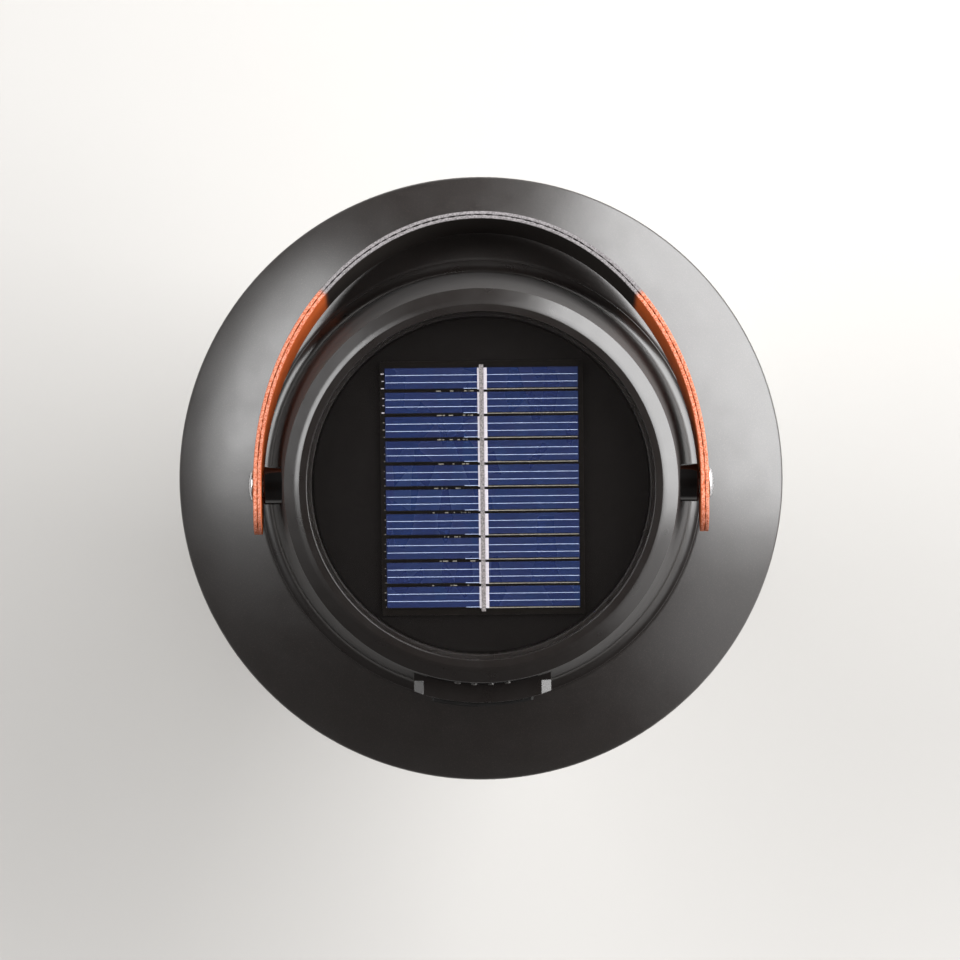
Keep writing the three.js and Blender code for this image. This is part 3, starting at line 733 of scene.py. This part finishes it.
def make_rings():
    """The seals, the gaskets and the lamp's ring-shaped board."""
    for node, (bore, soft) in RINGS.items():
        radius, bottom, top = span(node)
        corners = [(bore, bottom), (radius, bottom), (radius, top), (bore, top)]
        outline = rounded([(*corner, soft) for corner in corners], 3)
        install(turned(f"{node}_fine", outline), node)


SHADE = {
    "bore": 46, "seat": 65.2, "sheet": 1, "seat_slope": 21, "bead_slope": 38, "screw_hole": 1.8,
}


def make_shade():
    """A spun sheet: a flat seat, then a dome that steepens evenly and rolls under into a bead."""
    rim, bottom, top = span("shade")
    flattest, steepest = (math.radians(SHADE[key]) for key in ("seat_slope", "bead_slope"))
    bead_radius = rim - BEAD
    reach = bead_radius + BEAD * math.sin(steepest) - SHADE["seat"]
    dome = reach / (math.sin(steepest) - math.sin(flattest))
    centre = (SHADE["seat"] - dome * math.sin(flattest), top - dome * math.cos(flattest))
    bead = (bead_radius, centre[1] + (dome - BEAD) * math.cos(steepest))
    start, end = 90 - SHADE["seat_slope"], 90 - SHADE["bead_slope"]
    outline = [(SHADE["bore"], top)]
    outline += arc(centre, dome, start, end, 28)
    outline += arc(bead, BEAD, end, -195, 24)[1:]
    outline += arc(centre, dome - SHADE["sheet"], end + 2, start, 16)
    outline += [(SHADE["bore"], top - SHADE["sheet"])]
    shade = turned("shade_fine", outline, sharp=30)
    for node in screws("housing_screw"):
        screw_hole(shade, node, SHADE["screw_hole"], top - 3, top + 1)
    keep_edges_over(shade, 30)
    install(shade, "shade")


# ---- Neck, bezel and solar panel ----

NECK = {"head": 57, "wall": 2.4, "foot_edge": 0.6, "cove": 3.6, "cove_sweep": 81}
SHELF = {"low": 190, "high": 193.9, "bore": 46.5, "step": 49, "rebate": 55.3, "sheet": 1.6}
POST = {"radius": 4, "hole": 1.8, "hole_top": 174.7}
BOSS_HOLE = 5.65
FRONT = (-80, -30)  # a span along Y that holds the front of the neck
NECK_HEIGHTS = (150, 200)  # a span of heights that holds the whole neck


def neck_cove(steps):
    """The hollow curve, from the foot's outer edge up to the wall."""
    foot, bottom, _ = span("neck_housing")
    centre = (foot, bottom + NECK["foot_edge"] + NECK["cove"])
    return arc(centre, NECK["cove"], -90, -90 - NECK["cove_sweep"], steps)


def neck_radius(height):
    """The neck's outer radius at a height above the hollow curve at its foot."""
    top = span("neck_housing")[2]
    cove_radius, cove_top = neck_cove(1)[1]
    share = (height - cove_top) / (top - cove_top)
    return cove_radius + (NECK["head"] - cove_radius) * share


def front_part(name, inner, outer, outline):
    """What a tube round Z leaves inside an outline seen from the front."""
    low, high = NECK_HEIGHTS
    tube = turned(name, [(inner, low), (outer, low), (outer, high), (inner, high)])
    return carve(tube, extruded("tool", outline, *FRONT, "Y"), operation="INTERSECT")


def port_outline(grow):
    """The port housing seen from the front, which also cuts its place in the neck."""
    (_, side), _, (bottom, top) = extent("port_housing")
    return box_outline((-side - grow, side + grow), (bottom - grow, top + grow))


def indicator_band(grow, depth, proud):
    """The place of the row of pips, from a depth below the wall to a height above it."""
    (_, side), _, (bottom, top) = extent("charge_indicator")
    side, bottom, top = side + grow, bottom - grow, top + grow
    band = turned("tool", [
        (neck_radius(bottom) - depth, bottom), (neck_radius(bottom) + proud, bottom),
        (neck_radius(top) + proud, top), (neck_radius(top) - depth, top),
    ])
    keep = extruded("tool", box_outline((-side, side), (FRONT[0], 0)), *NECK_HEIGHTS)
    return carve(band, keep, operation="INTERSECT")


def make_neck():
    foot, bottom, top = span("neck_housing")
    shelf_low = SHELF["low"] - SHELF["sheet"]
    outline = rounded([
        (foot - NECK["cove"] - NECK["wall"], bottom), (foot, bottom, 0.15),
        (foot, bottom + NECK["foot_edge"], 0.2), *neck_cove(14)[1:], (NECK["head"], top, 0.3),
        (SHELF["rebate"], top, 0.2), (SHELF["rebate"], SHELF["high"]),
        (SHELF["step"], SHELF["high"], 0.3), (SHELF["step"], SHELF["low"]),
        (SHELF["bore"], SHELF["low"], 0.2), (SHELF["bore"], shelf_low, 0.2),
        (neck_radius(shelf_low) - NECK["wall"], shelf_low, 0.6),
    ])
    neck = turned("neck_housing_fine", outline)
    for node in screws("housing_screw"):
        post = round_bar(POST["radius"], bottom - 0.6, shelf_low + 0.5)
        carve(neck, moved(post, over(node)), operation="UNION")
        carve(neck, moved(round_bar(POST["hole"], bottom - 2, POST["hole_top"]), over(node)))
    pivot = joint("handle_swing")["pos_m"][2] / MM
    seat = extent("pivot_boss_right")[2][1] - pivot + 0.15
    for side in (-1, 1):
        for radius, start, end in ((BOSS_HOLE, 54, 66), (seat, 54, 56.9)):
            carve(neck, moved(round_bar(radius, start, end), along_x(side, pivot)))
    carve(neck, front_part("tool", 52.5, 70, port_outline(0.1)), indicator_band(0.12, 1.3, 3))
    keep_edges_over(neck, 35)
    paint(neck, "neck_plastic")
    install(neck, "neck_housing")


BEZEL = {"crown": 52.3, "flat": 50.3, "lip": 50.1, "seat": 198.2, "edge_top": 196.57}
BROW = {"radius": 6, "start": 18, "end": 37}


def make_bezel():
    """A sloping face, curved at its top, round a flat crown that holds the window's edge."""
    outer, bottom, top = span("bezel_ring")
    seat = span("neck_housing")[2] + 0.15
    start = math.radians(BROW["start"])
    radius = BROW["radius"]
    centre = (BEZEL["crown"] - radius * math.sin(start), top - radius * math.cos(start))
    outline = rounded([
        (outer, seat, 0.1), (outer, BEZEL["edge_top"], 0.25),
        *arc(centre, radius, 90 - BROW["end"], 90 - BROW["start"], 10),
        (BEZEL["flat"], top, 0.15), (BEZEL["lip"], BEZEL["seat"]),
        (BEZEL["crown"], BEZEL["seat"]), (BEZEL["crown"], bottom), (55, bottom, 0.2),
        (55, seat),
    ])
    install(turned("bezel_ring_fine", outline), "bezel_ring")


def make_window():
    radius, bottom, top = span("solar_window")
    outline = rounded([(0, bottom), (radius, bottom, 0.15), (radius, top, 0.15), (0, top)])
    window = install(turned("solar_window_fine", outline, sharp=60), "solar_window")
    window.visible_shadow = False


CABLE_HOLE = {"radius": 2, "y": -22}


def make_tray():
    radius, bottom, top = span("panel_tray")
    outline = rounded([(0, bottom), (radius, bottom, 0.3), (radius, top, 0.45), (0, top)])
    tray = turned("panel_tray_fine", outline)
    hole = round_bar(CABLE_HOLE["radius"], bottom - 1, top + 1, HOLE_STEPS)
    carve(tray, moved(hole, Matrix.Translation((0, CABLE_HOLE["y"] * MM, 0))))
    keep_edges_over(tray, 40)
    install(tray, "panel_tray")


PANEL_TURN = math.radians(0.2)
BOARD = {"half_width": 29.3, "half_depth": 36.7, "corner": 0.4}
CELL = {"count": 10, "width": 55.8, "depth": 6.35, "pitch": 7.03}


def on_panel(name, x_span, y_span, heights, corner=0.0):
    """A flat block in the panel's own turned and shifted frame."""
    place = over("solar_board") @ Matrix.Rotation(PANEL_TURN, 4, "Z")
    return moved(extruded(name, box_outline(x_span, y_span, corner), *heights), place)


def row_middle(row):
    """Where a row of cells lies along Y, from the panel's middle."""
    return (row - (CELL["count"] - 1) / 2) * CELL["pitch"]


def make_panel():
    x, y = BOARD["half_width"], BOARD["half_depth"]
    heights = extent("solar_board")[2]
    board = on_panel("solar_board_fine", (-x, x), (-y, y), heights, BOARD["corner"])
    install(soften(board, 0.04), "solar_board")
    half, depth = CELL["width"] / 2, CELL["depth"] / 2
    for row in range(CELL["count"]):
        node = f"solar_cell_{row + 1}"
        y_span = (row_middle(row) - depth, row_middle(row) + depth)
        cell = on_panel(f"{node}_fine", (-half, half), y_span, extent(node)[2])
        install(soften(cell, 0.04, 1), node)


FINGER = {"width": 0.15, "pitch": 2.1, "first": 2.05, "rise": 0.02}
BUSBAR = {"x": 0.22, "width": 2.75}
RIBBON = {"x": 0, "width": 1.25, "end_gap": 0.3}


def make_printing():
    """What is printed on and between the cells: fingers, busbars, solder stubs and flux."""
    dice = random.Random(5)
    cell_face = extent("solar_cell_1")[2][1]
    board_face = extent("solar_board")[2][1]
    half, depth = CELL["width"] / 2, CELL["depth"] / 2
    bus_left, bus_right = (BUSBAR["x"] + side * BUSBAR["width"] / 2 for side in (-1, 1))
    twice = 2 * FINGER["rise"]
    parts = []

    def stroke(x_span, middle, width, material, rise=FINGER["rise"], low=cell_face):
        y_span = (middle - width / 2, middle + width / 2)
        part = on_panel("stroke", x_span, y_span, (low, low + rise))
        paint(part, material)
        parts.append(part)

    for row in range(CELL["count"]):
        middle = row_middle(row)
        cell_top, cell_bottom = middle + depth, middle - depth
        for line in range(2):
            y = cell_top - FINGER["first"] - line * FINGER["pitch"]
            stroke((-half + 0.2, bus_left), y, FINGER["width"], "finger_print")
            stroke((bus_right, half - 0.2), y, FINGER["width"], "finger_print")
        stroke((-half, bus_left), cell_bottom + 0.2, 0.4, "panel_board")
        stroke((bus_right, half), cell_bottom + 0.4, 0.2, "panel_board")
        stroke((bus_right, half - 0.2), cell_bottom + 0.15, 0.26, "flux")
        stroke((bus_left - 4, bus_left), cell_bottom + 0.4, 0.15, "finger_print", twice)
        stroke((bus_left, bus_right), middle, 2 * depth - 0.1, "silver_print", twice)
        faintness = (CELL["count"] - 1 - row) / 4
        for line in range(3):
            y = cell_top - FINGER["first"] - line * FINGER["pitch"] + 0.45
            length = dice.uniform(0.5, 1.1) * max(0.35, 1 - faintness)
            start = -half - length - dice.uniform(0.1, 0.3)
            width = dice.uniform(0.16, 0.3)
            paste = "silver_print" if faintness < 0.4 else "flux"
            stroke((start, start + length), y, width, paste, low=board_face)
        if row < CELL["count"] - 1:
            gap = cell_top + (CELL["pitch"] - CELL["depth"]) / 2
            for _ in range(dice.randint(4, 8)):
                x = dice.uniform(-15, -3.5)
                stroke((x, x + dice.uniform(0.3, 1.6)), gap, 0.3, "flux", 0.15, board_face)
    printing = joined("cell_printing", parts)
    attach(printing, "lantern")


def make_ribbon():
    """The tab ribbon, soldered over the busbars."""
    _, (front, back), heights = extent("bus_ribbon")
    x_span = (RIBBON["x"] - RIBBON["width"] / 2, RIBBON["x"] + RIBBON["width"] / 2)
    length = (back - front) / 2 - RIBBON["end_gap"]
    ribbon = on_panel("bus_ribbon_fine", x_span, (-length, length), heights)
    install(soften(ribbon, 0.03, 1), "bus_ribbon")


# ---- Charging port ----

PORT_BEVEL = {"wide": 2.9, "tall": 1.6, "start": 56.9}  # the sloping ends of the port's top
POCKET = ((-13, 13), (176.6, 183.6))
REAR_RECESS = ((-14, 14), (174.5, 185.5))
WEB = (61, 59.4)  # distance of the web's two faces from the axis
PORT_ROOT = 56.5
KEY_HOLE = 2.9


def port_wedge(end, side, top):
    """What the slope at one end of the port's top leaves out, as seen from the front."""
    inner, outer = end * (side - PORT_BEVEL["wide"]), end * (side + 1)
    low = top - PORT_BEVEL["tall"]
    return [(end * side, low), (inner, top), (inner, top + 1), (outer, top + 1), (outer, low)]


def make_port_housing():
    (_, side), (y_front, _), (_, top) = extent("port_housing")
    front = -y_front
    body = front_part("port_housing_fine", PORT_ROOT, front, port_outline(0))
    for end in (-1, 1):
        wedge = extruded("tool", port_wedge(end, side, top), FRONT[0], -PORT_BEVEL["start"], "Y")
        carve(body, wedge)
    soften(body, 0.18, 2, angle=25)
    (left, right), _, (bottom, top) = extent("usb_socket")
    mouth = box_outline((left - 0.3, right + 0.3), (bottom - 0.3, top + 0.3), 1.5)
    low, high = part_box("power_button")
    key = (low + high) / 2 / MM
    for outline, start, end in (
        (box_outline(*POCKET, 1.2), -front - 3, -WEB[0]),
        (box_outline(*REAR_RECESS, 1), -WEB[1], -40),
        (mouth, -front, -50),
        (arc((key.x, key.z), KEY_HOLE, 0, 354, 59), -front, -50),
    ):
        carve(body, extruded("tool", outline, start, end, "Y"))
    keep_edges_over(body, 35)
    install(body, "port_housing")


COVER = {"inner": 63.8, "outer": 64.7, "dish": 0.2, "dish_border": 2}
LIP = {"reach": 0.9, "height": 1.2, "slope": 0.65, "left": -14.5, "right": -1.5}
PLUG = ((-9, 9), (177.4, 182.8))


def make_port_cover():
    """A thin curved flap with a border, a plug behind it and a pull lip on its left half."""
    (_, side), _, (bottom, top) = extent("port_cover")
    inner, outer = COVER["inner"], COVER["outer"]
    border = rounded([
        (-side, bottom, 1.6), (side, bottom, 1.6), (side, top, 0.8), (-side, top, 0.8),
    ])
    flap = front_part("port_cover_fine", inner, outer, border)
    dish_side = side - COVER["dish_border"]
    dish_outline = box_outline((-dish_side, dish_side), (bottom + 1.9, top - 1.6), 1)
    carve(flap, front_part("tool", outer - COVER["dish"], outer + 2, dish_outline))
    root, reach, lip_top = inner + 0.4, outer + LIP["reach"], bottom + LIP["height"]
    lip = carve(
        turned("tool", [
            (root, bottom), (reach, bottom), (reach, lip_top - LIP["slope"]), (outer, lip_top),
            (root, lip_top),
        ]),
        extruded("tool", box_outline((LIP["left"], LIP["right"]), FRONT), *NECK_HEIGHTS),
        operation="INTERSECT",
    )
    plug = extruded("tool", box_outline(*PLUG, 1), -root, -62.4, "Y")
    carve(flap, lip, plug, operation="UNION")
    soften(flap, 0.22, 2, angle=40)
    install(flap, "port_cover")


BUTTON = {"rim": 3.4, "rim_height": 0.7, "radius": 2.6, "dish": 1.2, "dish_depth": 0.3}


def make_power_button():
    (left, right), (front, back), (bottom, top) = extent("power_button")
    x, z, length = (left + right) / 2, (bottom + top) / 2, back - front
    outline = rounded([
        (0, 0), (BUTTON["rim"], 0, 0.15), (BUTTON["rim"], BUTTON["rim_height"], 0.15),
        (BUTTON["radius"], BUTTON["rim_height"]), (BUTTON["radius"], length, 0.5),
        (BUTTON["dish"] + BUTTON["dish_depth"], length, 0.2),
        (BUTTON["dish"], length - BUTTON["dish_depth"], 0.2),
        (0, length - BUTTON["dish_depth"]),
    ])
    button = turned("power_button_fine", outline, SMALL_STEPS)
    turn = Matrix.Rotation(math.radians(90), 4, "X")
    moved(button, Matrix.Translation((x * MM, back * MM, z * MM)) @ turn)
    install(button, "power_button")


PIPS = {"count": 4, "step": 4.8, "radius": 0.95, "proud": 0.45, "length": 1.2}


def make_indicator():
    """A smoked strip, barely proud of the wall, with a row of raised pips."""
    strip = indicator_band(-0.05, 1, 0.1)
    soften(strip, 0.12)
    paint(strip, "smoked")
    middle = sum(extent("charge_indicator")[2]) / 2
    outer = neck_radius(middle) + PIPS["proud"]
    radius, back = PIPS["radius"], outer - PIPS["length"]
    outline = rounded([(0, back), (radius, back), (radius, outer, 0.3), (0, outer)])
    parts = [strip]
    for index in range(PIPS["count"]):
        azimuth = math.radians(PIPS["step"] * (index - (PIPS["count"] - 1) / 2))
        pip = turned("pip", outline, HOLE_STEPS)
        paint(pip, "pip_lens")
        spin = Matrix.Rotation(azimuth, 4, "Z") @ Matrix.Rotation(math.radians(90), 4, "X")
        parts.append(moved(pip, Matrix.Translation((0, 0, middle * MM)) @ spin))
    install(joined("charge_indicator_fine", parts), "charge_indicator")


# ---- Strap handle and its pivots ----

STRAP_DROOP = math.radians(13.2)
STRAP = {
    "centre": 64.7, "reach": 78.4, "half": 9, "tab": 5.3, "hole": 3.5, "outside": 1.15,
    "step": 0.7, "across": 14, "corner": 0.22, "pinch": 1.6,
}
DYE = {"start": math.radians(44), "end": math.radians(135), "soft": math.radians(1.1)}
SEAM = {"period": 2.9, "open": 0.15, "closed": 0.01}


def strap_end(round_steps=16, tab_steps=8):
    """Heights and half widths of a strap end, from its rounded tip up to the pivot."""
    half, tab = STRAP["half"], STRAP["tab"]
    angles = [math.radians(88) * step / round_steps for step in range(round_steps, 0, -1)]
    end = [(-tab - half * math.sin(angle), half * math.cos(angle)) for angle in angles]
    return end + [(-tab * (tab_steps - step) / tab_steps, half) for step in range(tab_steps)]


def strap_sections():
    """Places along the strap's centre line: point, outward normal, half width and dye."""
    centre, reach = STRAP["centre"], STRAP["reach"]
    first, last = (
        [(Vector((side * centre, v)), Vector((side, 0)), wide, 0.0) for v, wide in strap_end()]
        for side in (1, -1)
    )
    arch = []
    steps = int(math.pi * (centre + reach) / 2 / STRAP["step"])
    for step in range(steps + 1):
        t = math.pi * step / steps
        point = Vector((centre * math.cos(t), reach * math.sin(t)))
        normal = Vector((math.cos(t) / centre, math.sin(t) / reach)).normalized()
        into = min(1, max(0, (t - DYE["start"]) / DYE["soft"] + 0.5))
        out_of = min(1, max(0, (DYE["end"] - t) / DYE["soft"] + 0.5))
        arch.append((point, normal, STRAP["half"], min(into, out_of)))
    return first + arch + last[::-1]


def seam_openings(sections):
    """Half the gap between the layers at each section: short dark dashes with tight spots."""
    places = [0.0]
    for before, after in zip(sections, sections[1:]):
        places.append(places[-1] + (after[0] - before[0]).length)
    dice = random.Random(11)
    marks = []
    place = 0.0
    while place < places[-1]:
        length = SEAM["period"] * dice.uniform(0.55, 1.25)
        marks.append((place, place + length * dice.uniform(0.4, 0.72), dice.uniform(0.6, 1)))
        place += length
    openings = []
    mark = 0
    for place in places:
        while mark < len(marks) - 1 and place > marks[mark + 1][0]:
            mark += 1
        start, end, share = marks[mark]
        inside = start < place < end
        openings.append(SEAM["open"] * share if inside else SEAM["closed"])
    return openings


def strap_edge(face, sign, half, soft, pull, ragged):
    """A rounded corner of a layer, from its face outwards: offset, place across, rawness."""
    return [
        (face, sign * (half - soft), 0.0), (face + pull * 0.3, sign * (half - soft * 0.3), 0.6),
        (face + pull, sign * (half + ragged), 1.0),
    ]


def layer_outline(half, gap, ragged):
    """A layer's section: along its seam face, round one edge, and back along its outer face."""
    across = STRAP["across"]
    soft = min(STRAP["corner"], half / 3)
    outline = []
    for shares, pull in ((range(across + 1), soft), (range(across, -1, -1), -soft)):
        for share in shares:
            wide = half * (2 * share / across - 1)
            near_edge = max(0.0, (abs(wide) - (half - STRAP["pinch"])) / STRAP["pinch"])
            seam_face = SEAM["closed"] + (gap - SEAM["closed"]) * near_edge
            face = seam_face if pull > 0 else STRAP["outside"]
            if share not in (0, across):
                outline.append((face, wide * (half - soft) / half, 0.0))
                continue
            corner = strap_edge(face, 1 if share else -1, half, soft, pull, ragged)
            starts_here = share == shares[0]
            outline += reversed(corner) if starts_here else corner
    return outline


def make_strap_layer(node, side):
    """One layer of the strap, outside (side 1) or inside (side -1) its centre line."""
    sections = strap_sections()
    dice = random.Random(3 + side)
    maker = bmesh.new()
    raw_layer = maker.verts.layers.float.new("cut_edge")
    dye_layer = maker.verts.layers.float.new("grip_dye")
    turn = Matrix.Rotation(-STRAP_DROOP, 3, "X")
    pivot = Vector(joint("handle_swing")["pos_m"])
    rings = []
    for (point, normal, half, dye), gap in zip(sections, seam_openings(sections)):
        ragged = dice.uniform(-0.05, 0.05) * (half > STRAP["half"] - 1)
        ring = []
        for offset, wide, raw in layer_outline(half, gap, ragged):
            flat = point + normal * (side * offset)
            spot = Vector((flat.x, flat.y, min(half, max(-half, wide)))) * MM
            vertex = maker.verts.new(turn @ spot + pivot)
            vertex[raw_layer] = raw
            vertex[dye_layer] = dye
            ring.append(vertex)
        rings.append(ring)
    for ring, following in zip(rings, rings[1:]):
        for index in range(len(ring)):
            other = (index + 1) % len(ring)
            maker.faces.new((ring[index], ring[other], following[other], following[index]))
    maker.faces.new(rings[0])
    maker.faces.new(rings[-1][::-1])
    layer = piece_from(f"{node}_fine", maker, sharp=70)
    hole = round_bar(STRAP["hole"], FRONT[0], -FRONT[0])
    carve(layer, moved(hole, along_x(1, pivot.z / MM)))
    layer.data.shade_smooth()
    keep_edges_over(layer, 70)
    install(layer, node)


BOSS = {"start": 55, "flange": 7, "flange_end": 56.7, "radius": 5.5, "end": 63.1}
BUSH = {"radius": 3.2, "start": 63.4, "end": 65.9}
THREAD_HOLE = {"radius": 2.1, "start": 57}
SCREW_DOME = [(4.45, 66.55), (4.1, 66.85), (3.4, 67.15), (2.4, 67.42), (1.2, 67.57), (0, 67.6)]


def make_pivots():
    """Bosses on the neck, bushes in the strap and the screws that hold it."""
    pivot = joint("handle_swing")["pos_m"][2] / MM
    bore = THREAD_HOLE["radius"]
    for name, side in (("left", -1), ("right", 1)):
        stand = along_x(side, pivot)
        boss = rounded([
            (0, BOSS["start"]), (BOSS["flange"], BOSS["start"], 0.3),
            (BOSS["flange"], BOSS["flange_end"], 0.3), (BOSS["radius"], BOSS["flange_end"]),
            (BOSS["radius"], BOSS["end"], 0.5), (bore, BOSS["end"], 0.2),
            (bore, THREAD_HOLE["start"]), (0, THREAD_HOLE["start"]),
        ])
        bush = rounded([
            (bore, BUSH["start"], 0.15), (BUSH["radius"], BUSH["start"], 0.15),
            (BUSH["radius"], BUSH["end"], 0.15), (bore, BUSH["end"], 0.15),
        ])
        for kind, outline in (("pivot_boss", boss), ("strap_bush", bush)):
            piece = turned(f"{kind}_{name}_fine", outline, SMALL_STEPS)
            install(moved(piece, stand), f"{kind}_{name}")
        shank = [(0, 57.5), (1.5, 57.5), (1.75, 57.8), (1.75, 66.2), (4.35, 66.2), (4.5, 66.35)]
        fastener = turned(f"strap_screw_{name}_fine", shank + SCREW_DOME, SMALL_STEPS, sharp=50)
        cross_slot(fastener, 1.9, 0.42, 66.9, 70)
        keep_edges_over(fastener, 40)
        install(moved(fastener, stand), f"strap_screw_{name}")


# ---- Inside pieces ----

EDGE_RADII = {
    "base_weight": 0.8, "light_carrier": 0.3, "reflector": 0.15, "led_1": 0.1, "led_2": 0.1,
    "led_3": 0.1, "control_board": 0.15, "usb_socket": 0.08, "tact_switch": 0.12,
    "battery_holder": 0.3, "battery_cell": 0.4, "battery_contact": 0.06,
}


def refine_the_inside():
    """Hidden pieces keep their CAD shape, with softened edges."""
    for node, width in EDGE_RADII.items():
        install(refined(node, width), node)


def finish_the_rest():
    """Every CAD node that is still shown gets its slot's material."""
    for node, piece in frame["nodes"].items():
        if not piece.hide_render:
            paint(piece, SLOT_OF[node])


# ---- Floor, lights and world ----

FLOOR_REACH = 6
ROOM = (0.126, 0.119, 0.116)
CEILING = (0.05, 0.043, 0.041)
BACKDROP = (0.62, 0.62, 0.61, 1)


def add_floor():
    maker = bmesh.new()
    corners = [(-1, -1), (1, -1), (1, 1), (-1, 1)]
    maker.faces.new([maker.verts.new((x * FLOOR_REACH, y * FLOOR_REACH, 0)) for x, y in corners])
    floor = piece_from("floor", maker)
    paint(floor, "floor")


def add_softbox(name, azimuth, distance, width, low, high, radiance):
    """An upright soft light between two heights, in metres, that faces the lantern's axis."""
    height = high - low
    data = bpy.data.lights.new(name, "AREA")
    data.shape = "RECTANGLE"
    data.size = width
    data.size_y = height
    data.energy = math.pi * radiance * width * height
    light = bpy.data.objects.new(name, data)
    angle = math.radians(azimuth)
    ray = Vector((math.cos(angle), math.sin(angle), 0))
    light.location = ray * distance + Vector((0, 0, (low + high) / 2))
    light.rotation_euler = (-ray).to_track_quat("-Z", "Y").to_euler()
    light.visible_camera = False
    light.visible_transmission = False
    bpy.context.scene.collection.objects.link(light)


def add_lights():
    """A broad key from the right, a smaller side light from the left, each with a dim fringe."""
    add_softbox("key", 29, 1.25, 2.12, 0.02, 1.75, 8.6)
    add_softbox("key_fringe", -31, 1.3, 0.75, 0.02, 1.4, 1.1)
    add_softbox("side", 155, 1.2, 1.3, 0.7, 1.8, 7.4)
    add_softbox("side_fringe", -162, 1.2, 0.5, 0.5, 1.5, 0.45)


def add_world():
    """A dim room, darker overhead, for the lantern to mirror, with a pale backdrop behind it."""
    world = bpy.data.worlds.new("studio")
    world.use_nodes = True
    tree = world.node_tree
    direction = add_node(tree, "ShaderNodeTexCoord", {}).outputs["Generated"]
    height = add_node(tree, "ShaderNodeSeparateXYZ", {0: direction}).outputs["Z"]
    limits = {"Value": height, "From Min": 0.75, "From Max": 0.97}
    overhead = add_node(tree, "ShaderNodeMapRange", limits).outputs["Result"]
    room = tree.nodes["Background"]
    tree.links.new(colour_mix(tree, overhead, ROOM, CEILING), room.inputs["Color"])
    backdrop = add_node(tree, "ShaderNodeBackground", {"Color": BACKDROP})
    seen = add_node(tree, "ShaderNodeLightPath", {}).outputs["Is Camera Ray"]
    layers = {0: seen, 1: room.outputs[0], 2: backdrop.outputs[0]}
    mix = add_node(tree, "ShaderNodeMixShader", layers)
    tree.links.new(mix.outputs[0], tree.nodes["World Output"].inputs[0])
    bpy.context.scene.world = world


# ---- Build ----

add_camera()
bpy.context.scene.view_settings.view_transform = "Standard"

make_foot_pad()
make_base_cup()
make_hidden_screws()
make_diffuser()
make_rings()
make_shade()
make_neck()
make_bezel()
make_window()
make_tray()
make_panel()
make_printing()
make_ribbon()
make_port_housing()
make_port_cover()
make_power_button()
make_indicator()
make_strap_layer("strap_outer", 1)
make_strap_layer("strap_inner", -1)
make_pivots()
refine_the_inside()
finish_the_rest()

add_floor()
add_lights()
add_world()
